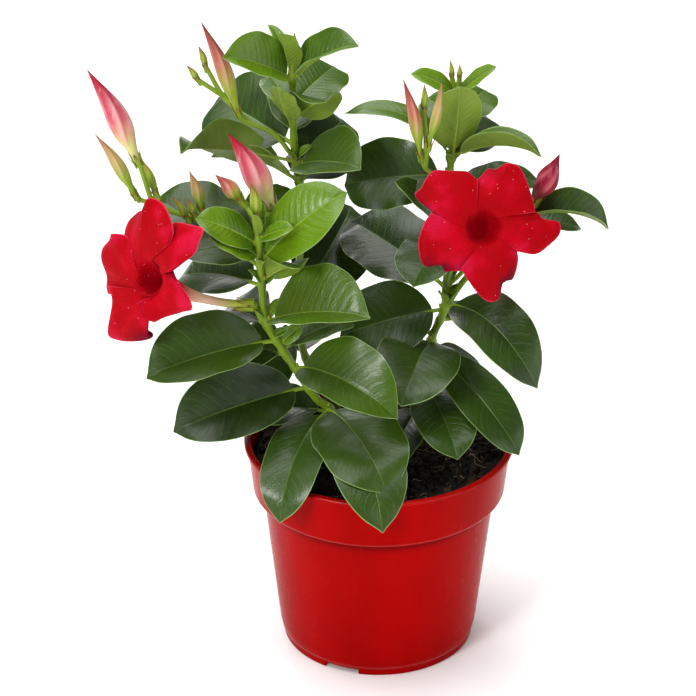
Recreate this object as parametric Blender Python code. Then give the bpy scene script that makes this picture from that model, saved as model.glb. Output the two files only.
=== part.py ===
# Potted brazilian jasmine: red nursery pot, soil, three leafy stems, two flowers and their buds.
# Lists are in millimetres and degrees, measured from the middle of the pot's foot.
# +X is the plant's right, +Y its back and +Z up. A heading of 0 points to +X and 90 to +Y.

import math
import random
from collections import namedtuple

import bmesh
import bpy
from mathutils import Quaternion, Vector

MM = 0.001
SEAT_GAP = 0.3
SHARP_ANGLE = 40

# The whole plant stands with the middle of its footprint on the origin.
POT_PLACE = (10.7, -0.95, 0.0)

POT_HEIGHT = 97.7
POT_RIM_RADIUS = 60.0
POT_WALL = 1.6
POT_SIDES = 40
BAND_BOTTOM = 74.5
BAND_RADIUS_LOW = 56.3
BAND_RADIUS_HIGH = 58.5
LIP_HEIGHT = 2.2
WALL_RADIUS_HIGH = 52.1
WALL_RADIUS_LOW = 44.9
WALL_LOW = 9.0
FOOT_RADIUS = 43.2
FOOT_HEIGHT = 4.0
FOOT_WIDTH = 1.9
FOOT_FLARE = 0.3
FLOOR_CURVE = 1.2
STEP_SLOPE = 0.5
EDGE_ROUND = 0.5
NOTCH_HEADINGS = (247, 7, 127)
NOTCH_WIDTH = 16.0
NOTCH_HEIGHT = 2.6
NOTCH_DEPTH = 12.0
DRAIN_COUNT = 4
DRAIN_RADIUS = 4.0
DRAIN_CIRCLE = 28.0
DRAIN_LOW = 2.0
DRAIN_HIGH = 8.0

SOIL_TOP = 91.0
SOIL_RISE = 1.6
SOIL_SEED = 7
SOIL_RINGS = 5
STEM_DEPTH = 16.0
# A stem is upright up to this height above the soil.
HOLE_CLEAR = 2.0
HOLE_SIDES = 10
HOLE_SPARE = 0.5
SOIL_EDGE = 2.0

STEM_RADIUS = 1.9
SHOOT_RADIUS = 1.4
STEM_SIDES = 6
STALK_SIDES = 5
STALK_SHARE = 0.75
BLADE_THICKNESS = 0.75
BUD_SIDES = 8
BUD_TURN = 1.6
BUD_RIDGE = 0.07
BUD_OUTLINE = ((0.0, 0.35), (0.14, 0.55), (0.30, 0.90), (0.45, 1.0), (0.62, 0.82), (0.82, 0.42), (1.0, 0.06))
CALYX_LENGTH = 4.0
CALYX_SUNK = 0.6
CALYX_SHAPE = ((-1.0, 0.7), (-0.5, 0.9), (0.0, 1.0))
PETIOLE_WIDTH = 2.4
PETIOLE_THICKNESS = 1.7
PETIOLE_SHARE = 0.11
MARGIN_DROOP = 0.14
# Share of the blade's length and of its half width at each row of a leaf.
LEAF_ROWS = ((0.12, 0.64), (0.32, 0.94), (0.56, 1.0), (0.78, 0.85), (0.92, 0.50))
LEAF_COLUMNS = (-1.0, -0.5, 0.0, 0.5, 1.0)

LOBES = 5
LOBE_STEP = 360 / LOBES
LOBE_EDGE = 34
COROLLA_RADIUS = 33.0
THROAT_RADIUS = 7.5
TUBE_RADIUS = 2.2
PETAL_THICKNESS = 0.9
MOUTH_LEDGE = 0.6
LOBE_TILT = 3.2
LOBE_FALL = 4.0
# Share of the way out at each row of the lobes.
LOBE_ROWS = (0.35, 0.7, 1.0)
# Share of the tube's length and the radius there, outside and then inside.
TUBE_OUTSIDE = ((0.0, 2.2), (0.3, 2.42), (0.6, 3.3), (0.85, 6.0))
TUBE_INSIDE = ((0.85, 5.0), (0.62, 1.0))
TUBE_BEND = 0.5
# Angle from the lobe's middle and the share of the corolla's radius there.
LOBE_OUTLINE = ((-34, 0.72), (-20, 1.03), (-6, 1.00), (9, 0.96), (23, 0.86), (34, 0.64))

Leaf = namedtuple("Leaf", "height heading rise length width roll arch fold twist")
Bud = namedtuple("Bud", "name stalk foot tip width")
Flower = namedtuple("Flower", "stalk foot throat facing first_lobe sag")

# Routes of the stems and of the stalks that grow from them.
LEFT_STEM = (
    (-15, -5, 91), (-21, -8, 114), (-28, -10, 123), (-37, -14, 140), (-42, -15, 149),
    (-49, -18, 164), (-50, -20, 181), (-51, -22, 200), (-51, -22, 207),
)
MIDDLE_STEM = (
    (-14, 24, 91), (-30, 21, 120), (-35, 20, 140), (-35, 18, 171), (-34, 16, 205),
    (-36, 14, 224), (-37, 12, 243), (-37, 10, 263), (-37, 9, 268),
)
RIGHT_STEM = (
    (18, 5, 91), (20, 6, 121), (23, 8, 142), (28, 8, 156), (29, 9, 167),
    (30, 11, 193), (30, 12, 224), (32, 12, 244), (32, 12, 257),
)
RIGHT_BRANCH = ((28, 8, 156), (36, 6, 171), (48, 4, 187), (61, 2, 205))

LEFT_LEAVES = (
    Leaf(154, 199, -8, 58, 31, 33, 0.08, 0.82, 0),
    Leaf(129, 201, -9, 62, 32, 42, 0.08, 0.70, 0),
    Leaf(115, 160, -12, 50, 26, 20, 0.08, 0.30, 0),
    Leaf(146, 138, -12, 34, 26, 35, 0.08, 0.30, 0),
    Leaf(164, 331, 16, 52, 34, -25, 0.08, 0.85, 0),
    Leaf(149, 27, 9, 35, 20, 0, 0.08, 0.30, 0),
    Leaf(140, 322, -6, 56, 31, -27, 0.17, 0.80, 0),
    Leaf(117, 298, -14, 57, 39, -8, 0.15, 0.14, 0),
    Leaf(116, 247, -27, 60, 27, -2, 0.18, 0.25, 0),
    Leaf(102, 287, -10, 65, 33, 0, 0.245, 0.18, 0),
    Leaf(193, 351, 44, 50, 28, -45, 0.08, 0.30, 0),
    Leaf(201, 198, 32, 31, 17, 40, 0.08, 0.30, 0),
    Leaf(195, 209, 35, 28, 15, 40, 0.08, 0.30, 0),
    Leaf(204, 318, 30, 22, 9, -40, 0.05, 0.30, 0),
    Leaf(184, 316, 32, 27, 18, 62, 0.19, 0.30, -72),
    Leaf(182, 137, -14, 54, 31, 24, 0.08, 0.30, 0),
    Leaf(191, 144, 16, 60, 36, 30, 0.08, 0.30, 0),
    Leaf(188, 82, 30, 48, 24, 0, 0.05, 0.30, 0),
    Leaf(162, 118, -18, 50, 30, 20, 0.10, 0.30, 0),
)
MIDDLE_LEAVES = (
    Leaf(263, 211, 27, 36, 22, 42, 0.08, 0.80, 0),
    Leaf(263, 335, 34, 36, 19, -25, 0.10, 0.75, 0),
    Leaf(266, 125, 44, 24, 6, 0, 0.10, 0.50, 0),
    Leaf(265, 226, 72, 22, 11, 0, 0.03, 0.80, 0),
    Leaf(249, 118, 18, 24, 15, 10, 0.08, 0.30, 0),
    Leaf(245, 312, 34, 25, 24, 65, 0.18, 0.30, -75),
    Leaf(251, 60, 9, 37, 24, -20, 0.06, 0.30, 0),
    Leaf(236, 94, 9, 42, 22, -10, 0.06, 0.30, 0),
    Leaf(224, 212, 18, 58, 21, -95, 0.22, 0.90, 80),
    Leaf(215, 162, 10, 40, 26, -40, 0.10, 0.30, 0),
    Leaf(222, 314, 16, 40, 30, -25, 0.08, 0.60, 0),
    Leaf(222, 60, 10, 42, 28, -32, 0.06, 0.30, 0),
    Leaf(214, 72, -14, 50, 30, -10, 0.06, 0.30, 0),
    Leaf(232, 128, 4, 58, 38, 40, 0.06, 0.30, 0),
    Leaf(155, 64, 25, 60, 38, -35, 0.08, 0.30, 0),
    Leaf(127, 106, -15, 52, 36, 0, 0.10, 0.30, 0),
    Leaf(141, 212, -38, 52, 30, 28, 0.06, 0.30, 0),
    Leaf(182, 108, 2, 52, 30, 0, 0.10, 0.30, 0),
    Leaf(243, 240, 62, 22, 15, 10, -0.05, 0.30, 0),
)
RIGHT_LEAVES = (
    Leaf(167, 134, 12, 62, 36, 25, 0.06, 0.30, 0),
    Leaf(189, 240, -15, 33, 28, 0, 0.12, 0.30, 0),
    Leaf(193, 205, 48, 38, 15, 35, 0.04, 0.30, 0),
    Leaf(219, 170, -10, 47, 32, 50, 0.08, 0.55, 0),
    Leaf(157, 187, -13, 47, 34, 42, 0.10, 0.30, 0),
    Leaf(142, 253, -9, 48, 36, 10, 0.14, 0.30, 0),
    Leaf(121, 288, -17, 46, 27, -5, 0.10, 0.30, 0),
    Leaf(138, 317, -32, 62, 23, -20, 0.10, 0.30, 0),
    Leaf(142, 34, -50, 50, 13, -50, 0.08, 0.30, 0),
    Leaf(159, 315, -20, 58, 27, -22, 0.29, 0.45, 0),
    Leaf(152, 50, -26, 50, 28, -10, 0.06, 0.30, 0),
    Leaf(111, 245, -20, 42, 21, 0, 0.10, 0.30, 0),
    Leaf(228, 284, 76, 36, 22, 0, -0.06, 0.30, 0),
    Leaf(227, 337, 11, 41, 9, 8, 0.13, 1.60, 0),
    Leaf(255, 194, 31, 23, 9, 40, 0.10, 0.40, 0),
    Leaf(255, 336, 43, 23, 8, -40, 0.03, 0.40, 0),
    Leaf(243, 60, 12, 28, 20, -20, 0.06, 0.30, 0),
    Leaf(229, 62, 10, 34, 26, -30, 0.06, 0.30, 0),
    Leaf(242, 118, 9, 25, 16, 30, 0.06, 0.30, 0),
    Leaf(227, 174, 23, 49, 12, 15, 0.22, 0.30, 0),
    Leaf(190, 68, 0, 50, 30, 0, 0.10, 0.30, 0),
    Leaf(208, 18, 4, 42, 24, -10, 0.10, 0.30, 0),
)
BRANCH_LEAVES = (
    Leaf(204, 0, -8, 38, 15, -18, 0.16, 1.14, 0),
    Leaf(199, 12, -6, 31, 16, -10, 0.08, 0.30, 0),
    Leaf(190, 62, -10, 46, 28, 0, 0.10, 0.30, 0),
)

# Stalks that carry several buds, and the buds. A bud's stalk starts at its first point; a bud with a
# name is a coloured one, seated on its calyx as a piece of its own, and the others are fused green ones.
LEFT_STALKS = (
    ((-51, -21, 195), (-58, -12, 202), (-70, -6, 205), (-85, -5, 208), (-96, -8, 214)),
    ((-51, -22, 200), (-52, -20, 206), (-53, -17, 212)),
)
LEFT_BUDS = (
    Bud("bud_pink_left", ((-96, -8, 214), (-98, -10, 223)), (-101, -14, 236), (-119, -24, 280), 9.4),
    Bud("bud_pale_left", ((-96, -8, 214),), (-103, -10, 219), (-118, -16, 249), 5.5),
    Bud("bud_tan_left", ((-70, -6, 205),), (-75, -8, 211), (-80, -10, 230), 5.0),
    Bud("bud_salmon_left", ((-53, -17, 212),), (-58, -13, 217), (-69, -12, 229), 6.8),
    Bud("bud_pink_middle", ((-53, -17, 212),), (-45, -12, 214), (-63, -16, 249), 11.2),
    Bud("", ((-96, -8, 214),), (-94, -7, 217), (-101, -4, 234), 4.0),
    Bud("", ((-78, -6, 206),), (-81, -11, 208), (-87, -14, 220), 3.2),
    Bud("", ((-74, -6, 205),), (-78, -10, 209), (-81, -12, 218), 3.6),
    Bud("", ((-52, -20, 206),), (-51, -24, 214), (-54, -24, 231), 5.0),
)
MIDDLE_STALKS = (
    ((-37, 14, 226), (-45, 15, 236), (-57, 10, 244)),
)
MIDDLE_BUDS = (
    Bud("bud_salmon_top", ((-57, 10, 244),), (-60, 8, 249), (-74, 0, 292), 6.8),
    Bud("", ((-55, 11, 243), (-66, 13, 254)), (-73, 12, 267), (-76, 10, 278), 3.0),
    Bud("", ((-66, 13, 254),), (-76, 10, 262), (-81, 8, 270), 3.0),
    Bud("", ((-37, 9, 266),), (-36, 9, 275), (-36, 10, 284), 2.2),
)
RIGHT_STALKS = (
    ((30, 12, 214), (24, 6, 220), (19, 2, 226)),
)
RIGHT_BUDS = (
    Bud("bud_salmon_right", ((19, 2, 226),), (17, 1, 232), (9, -5, 269), 5.6),
    Bud("bud_tan_right", ((19, 2, 226),), (20, -2, 238), (25, -8, 269), 4.2),
    Bud("bud_crimson_right", ((61, 2, 205),), (66, 2, 211), (75, -2, 234), 9.4),
    Bud("", ((19, 3, 227), (19, 4, 240)), (18, 3, 251), (18, 2, 264), 3.2),
    Bud("", ((32, 12, 255),), (30, 12, 262), (29, 12, 271), 2.2),
    Bud("", ((32, 12, 255),), (33, 12, 262), (33, 12, 269), 2.2),
)

# A flower's stalk, the foot of its tube, the middle of its throat, the way that it faces, the angle
# of its first lobe, seen from the front, and how far the bend of its tube hangs down.
LEFT_FLOWER = Flower(((-50, -18, 163),), (-56, -21, 173), (-96, -38, 194), (-0.68, -0.68, 0.22), 72, 14)
RIGHT_FLOWER = Flower(
    ((29, 9, 167), (36, 12, 173)), (40, 11, 182), (43, -22, 209), (0.05, -0.93, 0.36), 50, 0,
)

COLOURS = {
    "pot": ((0.42, 0.005, 0.005), 0.28),
    "soil": ((0.012, 0.008, 0.005), 0.95),
    "leaf": ((0.05, 0.12, 0.02), 0.35),
    "petal": ((0.60, 0.003, 0.008), 0.55),
    "bud": ((0.62, 0.16, 0.14), 0.5),
}


def clear_scene():
    for item in list(bpy.data.objects):
        bpy.data.objects.remove(item, do_unlink=True)


def make_material(name, colour_name):
    colour, roughness = COLOURS[colour_name]
    material = bpy.data.materials.new(name)
    material.use_nodes = True
    shader = material.node_tree.nodes["Principled BSDF"]
    shader.inputs["Base Color"].default_value = (*colour, 1.0)
    shader.inputs["Roughness"].default_value = roughness
    shader.inputs["Metallic"].default_value = 0.0
    return material


def make_object(name, verts, faces):
    mesh = bpy.data.meshes.new(name)
    mesh.from_pydata([Vector(v) * MM for v in verts], [], faces)
    mesh.validate()
    body = bpy.data.objects.new(name, mesh)
    bpy.context.scene.collection.objects.link(body)
    return body


def smooth_route(points, steps):
    """Points along a Catmull-Rom curve through the given ones."""
    pts = [Vector(p) for p in points]
    ends = [2 * pts[0] - pts[1]] + pts + [2 * pts[-1] - pts[-2]]
    route = []
    for a, b, c, d in zip(ends, ends[1:], ends[2:], ends[3:]):
        for k in range(steps):
            t = k / steps
            route.append(0.5 * (2 * b + (c - a) * t + (2 * a - 5 * b + 4 * c - d) * t * t
                                + (3 * b - a - 3 * c + d) * t ** 3))
    route.append(pts[-1])
    return route


def loft(name, rings):
    """A closed body through rings of equal count, with a fan of faces over each end."""
    count = len(rings[0])
    verts = [p for ring in rings for p in ring]
    faces = []
    for r in range(len(rings) - 1):
        for k in range(count):
            a = r * count + k
            b = r * count + (k + 1) % count
            faces.append((a, b, b + count))
            faces.append((a, b + count, a + count))
    faces.append(tuple(reversed(range(count))))
    faces.append(tuple(range((len(rings) - 1) * count, len(rings) * count)))
    return make_object(name, verts, faces)


def tube(name, route, radii, sides):
    """A round body along a route; its rings keep one heading, so it doesn't twist."""
    rings = []
    side = None
    for k, point in enumerate(route):
        ahead = route[min(k + 1, len(route) - 1)] - route[max(k - 1, 0)]
        ahead.normalize()
        if side is None:
            side = ahead.orthogonal().normalized()
        side = (side - ahead * side.dot(ahead)).normalized()
        other = ahead.cross(side)
        ring = []
        for s in range(sides):
            angle = 2 * math.pi * s / sides
            ring.append(point + (side * math.cos(angle) + other * math.sin(angle)) * radii[k])
        rings.append(ring)
    return loft(name, rings)


def spindle(name, bud, sides, first):
    """A pointed bud: narrow foot, fullest below its middle and a long tip, turned as its petals are."""
    foot = Vector(bud.foot)
    tip = Vector(bud.tip)
    way = (tip - foot).normalized()
    foot = foot + way * first
    side = way.orthogonal().normalized()
    other = way.cross(side)
    rings = []
    for share, width in BUD_OUTLINE:
        middle = foot.lerp(tip, share)
        ring = []
        for s in range(sides):
            angle = 2 * math.pi * s / sides + share * BUD_TURN
            reach = bud.width / 2 * width * (1.0 + BUD_RIDGE * math.cos(math.pi * s))
            ring.append(middle + (side * math.cos(angle) + other * math.sin(angle)) * reach)
        rings.append(ring)
    return loft(name, rings)


def calyx(name, foot, way, radius):
    """The green cup under a bud or a flower; its flat end is the seat."""
    route = [foot + way * CALYX_LENGTH * share for share, _ in CALYX_SHAPE]
    radii = [max(SHOOT_RADIUS * STALK_SHARE, radius) * width for _, width in CALYX_SHAPE]
    return tube(name, route, radii, STEM_SIDES)


def leaf_axes(leaf, roll):
    heading = math.radians(leaf.heading)
    rise = math.radians(leaf.rise)
    ahead = Vector((math.cos(rise) * math.cos(heading), math.cos(rise) * math.sin(heading), math.sin(rise)))
    up = Vector((-math.sin(rise) * math.cos(heading), -math.sin(rise) * math.sin(heading), math.cos(rise)))
    up.rotate(Quaternion(ahead, -math.radians(roll)))
    return ahead, up, up.cross(ahead)


def make_leaf(name, foot, leaf):
    """One leaf: a square petiole, then rows of blade points on the upper face and their mates below."""
    cols = len(LEAF_COLUMNS)
    verts = []
    ahead, base_up, side = leaf_axes(leaf, leaf.roll)

    def midrib(share):
        bow = leaf.arch * 4 * share * (1 - share)
        return foot + (ahead * share + base_up * bow) * leaf.length

    for share in (0.0, PETIOLE_SHARE):
        for across, down in ((-1, 0), (1, 0), (1, -1), (-1, -1)):
            sideways = side * across * PETIOLE_WIDTH / 2
            verts.append(midrib(share) + sideways + base_up * down * PETIOLE_THICKNESS)
    for blade_share, width in LEAF_ROWS:
        middle = midrib(PETIOLE_SHARE + (1 - PETIOLE_SHARE) * blade_share)
        _, up, side = leaf_axes(leaf, leaf.roll + leaf.twist * blade_share)
        half = width * leaf.width / 2
        upper = []
        for k in LEAF_COLUMNS:
            upper.append(middle + side * k * half + up * half * (leaf.fold * abs(k) - MARGIN_DROOP * k * k))
        verts += upper
        verts += [p - up * BLADE_THICKNESS for p in upper]
    _, up, side = leaf_axes(leaf, leaf.roll + leaf.twist)
    tip = foot + ahead * leaf.length
    verts += [tip, tip - up * BLADE_THICKNESS]

    faces = [(3, 2, 1, 0), (0, 1, 5, 4), (1, 2, 6, 5), (2, 3, 7, 6), (3, 0, 4, 7)]
    first = 8
    low = first + cols
    faces += [(4, first + 1, first), (4, first + 2, first + 1), (4, 5, first + 2)]
    faces += [(5, first + 3, first + 2), (5, first + 4, first + 3)]
    faces += [(7, low, low + 1), (7, low + 1, low + 2), (7, low + 2, 6)]
    faces += [(6, low + 2, low + 3), (6, low + 3, low + 4)]
    faces += [(4, first, low), (4, low, 7), (5, low + 4, first + 4), (5, 6, low + 4)]
    for r in range(len(LEAF_ROWS) - 1):
        top = first + r * 2 * cols
        nxt = top + 2 * cols
        for k in range(cols - 1):
            faces.append((top + k, top + k + 1, nxt + k + 1))
            faces.append((top + k, nxt + k + 1, nxt + k))
            faces.append((top + cols + k, nxt + cols + k + 1, top + cols + k + 1))
            faces.append((top + cols + k, nxt + cols + k, nxt + cols + k + 1))
        left, right = top, top + cols - 1
        faces += [(left, left + 2 * cols, left + 3 * cols), (left, left + 3 * cols, left + cols)]
        faces += [(right, right + 3 * cols, right + 2 * cols), (right, right + cols, right + 3 * cols)]
    top = first + (len(LEAF_ROWS) - 1) * 2 * cols
    tip_up = len(verts) - 2
    tip_low = tip_up + 1
    for k in range(cols - 1):
        faces.append((top + k, top + k + 1, tip_up))
        faces.append((top + cols + k, tip_low, top + cols + k + 1))
    faces += [(top, tip_up, tip_low), (top, tip_low, top + cols)]
    faces += [(top + cols - 1, tip_low, tip_up), (top + cols - 1, top + 2 * cols - 1, tip_low)]
    return make_object(name, verts, faces)


def point_at_height(route, height):
    for low, high in zip(route, route[1:]):
        if low.z <= height <= high.z:
            return low.lerp(high, (height - low.z) / (high.z - low.z))
    return route[-1].copy()


def face_out(body):
    """Turns every face of a closed body outwards."""
    bm = bmesh.new()
    bm.from_mesh(body.data)
    bmesh.ops.recalc_face_normals(bm, faces=bm.faces)
    bm.to_mesh(body.data)
    bm.free()


def keep_main_body(mesh):
    """Drops loose scraps and the inner shells of sealed hollows, which fills those hollows."""
    bm = bmesh.new()
    bm.from_mesh(mesh)
    bm.faces.ensure_lookup_table()
    seen = set()
    islands = []
    for face in bm.faces:
        if face.index in seen:
            continue
        seen.add(face.index)
        island = [face]
        for current in island:
            for edge in current.edges:
                for other in edge.link_faces:
                    if other.index not in seen:
                        seen.add(other.index)
                        island.append(other)
        islands.append(island)
    islands.sort(key=len)
    for island in islands[:-1]:
        bmesh.ops.delete(bm, geom=island, context="FACES")
    bm.to_mesh(mesh)
    bm.free()


def fuse(trunk, limbs):
    """One body from a trunk and what grows from it, by one union on a collection."""
    group = bpy.data.collections.new(trunk.name + "_limbs")
    bpy.context.scene.collection.children.link(group)
    for limb in [trunk] + limbs:
        face_out(limb)
    for limb in limbs:
        bpy.context.scene.collection.objects.unlink(limb)
        group.objects.link(limb)
    union = trunk.modifiers.new("union", "BOOLEAN")
    union.operation = "UNION"
    union.operand_type = "COLLECTION"
    union.collection = group
    union.solver = "EXACT"
    bpy.context.view_layer.update()
    seen = trunk.evaluated_get(bpy.context.evaluated_depsgraph_get())
    fused = bpy.data.meshes.new_from_object(seen)
    trunk.modifiers.clear()
    trunk.data = fused
    for limb in limbs:
        bpy.data.objects.remove(limb, do_unlink=True)
    bpy.data.collections.remove(group)
    keep_main_body(fused)


def stem_limbs(name, route, leaves):
    limbs = []
    for k, leaf in enumerate(leaves):
        limbs.append(make_leaf(f"{name}_leaf_{k}", point_at_height(route, leaf.height), leaf))
    return limbs


def stalk(name, points, steps):
    route = smooth_route(points, steps)
    return tube(name, route, [SHOOT_RADIUS * STALK_SHARE] * len(route), STALK_SIDES)


def bloom_limbs(name, stalks, buds, flowers):
    """What carries the blooms: shared stalks, each bloom's own stalk and calyx, and the fused green buds."""
    limbs = []
    for k, points in enumerate(stalks):
        limbs.append(stalk(f"{name}_stalk_{k}", points, 2))
    for k, bud in enumerate(buds):
        foot = Vector(bud.foot)
        way = (Vector(bud.tip) - foot).normalized()
        if bud.name:
            limbs.append(calyx(f"{name}_calyx_{k}", foot, way, bud.width * BUD_OUTLINE[0][1] / 2))
            foot = foot - way * CALYX_LENGTH * CALYX_SUNK
        else:
            limbs.append(spindle(f"{name}_bud_{k}", bud, STALK_SIDES, 0.0))
            foot = foot + way
        limbs.append(stalk(f"{name}_bud_stalk_{k}", (*bud.stalk, foot), 1))
    for k, flower in enumerate(flowers):
        foot = Vector(flower.foot)
        way = tube_start(flower)
        limbs.append(calyx(f"{name}_flower_calyx_{k}", foot, way, TUBE_RADIUS))
        foot = foot - way * CALYX_LENGTH * CALYX_SUNK
        limbs.append(stalk(f"{name}_flower_stalk_{k}", (*flower.stalk, foot), 1))
    return limbs


def make_stem(name, points, leaves, stalks, buds, flowers, branch=(), branch_leaves=()):
    """A leafy stem that stands in its hole in the soil, with all that grows from it."""
    foot = Vector(points[0])
    buried = [foot - Vector((0, 0, STEM_DEPTH)), foot + Vector((0, 0, HOLE_CLEAR))]
    route = smooth_route(points, 2)
    route = buried + [p for p in route if p.z > foot.z + 3 * HOLE_CLEAR]
    radii = []
    for p in route:
        share = max(0.0, (p.z - foot.z) / (route[-1].z - foot.z))
        radii.append(STEM_RADIUS + (SHOOT_RADIUS - STEM_RADIUS) * share)
    trunk = tube(name, route, radii, STEM_SIDES)
    limbs = stem_limbs(name, route, leaves)
    if branch:
        side_route = smooth_route(branch, 2)
        limbs.append(tube(f"{name}_branch", side_route, [SHOOT_RADIUS] * len(side_route), STEM_SIDES))
        limbs += stem_limbs(f"{name}_branch", side_route, branch_leaves)
    limbs += bloom_limbs(name, stalks, buds, flowers)
    fuse(trunk, limbs)
    trunk.data.materials.clear()
    trunk.data.materials.append(make_material(name, "leaf"))
    return trunk


def tube_bend(flower):
    """The point that a corolla's tube bends towards, behind its throat."""
    mouth = Vector(flower.throat)
    reach = (mouth - Vector(flower.foot)).length * TUBE_BEND
    return mouth - Vector(flower.facing).normalized() * reach - Vector((0, 0, flower.sag))


def tube_start(flower):
    return (tube_bend(flower) - Vector(flower.foot)).normalized()


def make_flower(name, flower):
    """One corolla: a slim tube that opens into a throat and five twisted lobes."""
    face = Vector(flower.facing).normalized()
    mouth = Vector(flower.throat)
    bend = tube_bend(flower)
    start = Vector(flower.foot) + tube_start(flower) * SEAT_GAP
    reference = Vector((0, 0, 1)) - face * face.z
    reference.normalize()
    right = reference.cross(face)

    def ring(middle, way, radius):
        turn = face.rotation_difference(way)
        across = turn @ right
        upward = turn @ reference
        points = []
        for lobe in range(LOBES):
            for offset, _ in LOBE_OUTLINE:
                angle = math.radians(flower.first_lobe - LOBE_STEP * lobe - offset)
                points.append(middle + (across * math.cos(angle) + upward * math.sin(angle)) * radius)
        return points

    def limb_ring(share, back):
        points = []
        for lobe in range(LOBES):
            for offset, reach in LOBE_OUTLINE:
                angle = math.radians(flower.first_lobe - LOBE_STEP * lobe - offset)
                radius = THROAT_RADIUS + (COROLLA_RADIUS * reach - THROAT_RADIUS) * share
                lift = LOBE_TILT * offset / LOBE_EDGE * share - LOBE_FALL * share * share - back
                way = right * math.cos(angle) + reference * math.sin(angle)
                points.append(mouth + way * radius + face * lift)
        return points

    def tube_ring(share, radius):
        middle = start.lerp(bend, share).lerp(bend.lerp(mouth, share), share)
        way = (bend - start).lerp(mouth - bend, share).normalized()
        return ring(middle, way, radius)

    rings = [tube_ring(share, radius) for share, radius in TUBE_OUTSIDE]
    rings.append(ring(mouth - face * PETAL_THICKNESS, face, THROAT_RADIUS + MOUTH_LEDGE))
    rings += [limb_ring(share, PETAL_THICKNESS) for share in LOBE_ROWS]
    rings += [limb_ring(share, 0.0) for share in reversed(LOBE_ROWS)]
    rings.append(ring(mouth, face, THROAT_RADIUS - MOUTH_LEDGE))
    rings += [tube_ring(share, radius) for share, radius in TUBE_INSIDE]
    body = loft(name, rings)
    face_out(body)
    body.data.materials.append(make_material(name, "petal"))
    return body


def turned(name, profile, sides):
    """A turned body; the profile's points are radius and height, and a radius of 0 is on the axis."""
    verts = []
    rows = []
    for radius, height in profile:
        if radius == 0:
            rows.append([len(verts)] * sides)
            verts.append((0, 0, height))
            continue
        rows.append(range(len(verts), len(verts) + sides))
        for k in range(sides):
            angle = 2 * math.pi * k / sides
            verts.append((radius * math.cos(angle), radius * math.sin(angle), height))
    faces = []
    for low, high in zip(rows, rows[1:]):
        for k in range(sides):
            n = (k + 1) % sides
            corners = list(dict.fromkeys((low[k], low[n], high[n], high[k])))
            faces.append(tuple(corners))
    return make_object(name, verts, faces)


def cut(body, cutters):
    for cutter in cutters:
        face_out(cutter)
        cutter.hide_render = True
        cutter.display_type = "WIRE"
        notch = body.modifiers.new(cutter.name, "BOOLEAN")
        notch.operation = "DIFFERENCE"
        notch.object = cutter
        notch.solver = "EXACT"


def make_pot():
    inner_high = BAND_RADIUS_HIGH - POT_WALL
    inner_low = BAND_RADIUS_LOW - POT_WALL
    lip_low = POT_HEIGHT - LIP_HEIGHT
    profile = [
        (0, FOOT_HEIGHT), (FOOT_RADIUS - FOOT_WIDTH, FOOT_HEIGHT), (FOOT_RADIUS - FOOT_WIDTH, 0),
        (FOOT_RADIUS, 0), (FOOT_RADIUS + FOOT_FLARE, FOOT_HEIGHT), (WALL_RADIUS_LOW, WALL_LOW),
        (WALL_RADIUS_HIGH, BAND_BOTTOM - STEP_SLOPE), (BAND_RADIUS_LOW, BAND_BOTTOM),
        (BAND_RADIUS_HIGH, lip_low), (POT_RIM_RADIUS, lip_low + EDGE_ROUND),
        (POT_RIM_RADIUS, POT_HEIGHT - EDGE_ROUND), (POT_RIM_RADIUS - EDGE_ROUND, POT_HEIGHT),
        (inner_high + EDGE_ROUND, POT_HEIGHT), (inner_high, POT_HEIGHT - EDGE_ROUND),
        (inner_low, BAND_BOTTOM + POT_WALL), (WALL_RADIUS_HIGH - POT_WALL, BAND_BOTTOM - POT_WALL),
        (WALL_RADIUS_LOW - POT_WALL, WALL_LOW), (FOOT_RADIUS - FLOOR_CURVE, FOOT_HEIGHT + POT_WALL),
        (0, FOOT_HEIGHT + POT_WALL),
    ]
    pot = turned("pot", profile, POT_SIDES)
    face_out(pot)
    cutters = []
    for k, heading in enumerate(NOTCH_HEADINGS):
        cutters.append(box_cutter(f"notch_{k}", (NOTCH_DEPTH, NOTCH_WIDTH, 2 * NOTCH_HEIGHT), heading))
    for k in range(DRAIN_COUNT):
        angle = 2 * math.pi * (k + 0.5) / DRAIN_COUNT
        place = (DRAIN_CIRCLE * math.cos(angle), DRAIN_CIRCLE * math.sin(angle))
        cutters.append(round_cutter(f"drain_{k}", place, DRAIN_RADIUS, DRAIN_LOW, DRAIN_HIGH))
    cut(pot, cutters)
    pot.data.materials.append(make_material("pot", "pot"))
    return pot


def box_cutter(name, size, heading):
    """A block across the foot ring at this heading, half of it below the surface."""
    angle = math.radians(heading)
    out = Vector((math.cos(angle), math.sin(angle), 0))
    side = Vector((-math.sin(angle), math.cos(angle), 0))
    verts = []
    for z in (-size[2] / 2, size[2] / 2):
        for a, b in ((-1, -1), (1, -1), (1, 1), (-1, 1)):
            verts.append(out * (FOOT_RADIUS + a * size[0] / 2) + side * b * size[1] / 2 + Vector((0, 0, z)))
    faces = [(3, 2, 1, 0), (4, 5, 6, 7), (0, 1, 5, 4), (1, 2, 6, 5), (2, 3, 7, 6), (3, 0, 4, 7)]
    return make_object(name, verts, faces)


def round_cutter(name, place, radius, low, high):
    rings = []
    for z in (low, high):
        ring = []
        for k in range(HOLE_SIDES):
            angle = 2 * math.pi * k / HOLE_SIDES
            across = radius * math.cos(angle)
            along = radius * math.sin(angle)
            ring.append(Vector((place[0] + across, place[1] + along, z)))
        rings.append(ring)
    return loft(name, rings)


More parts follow.
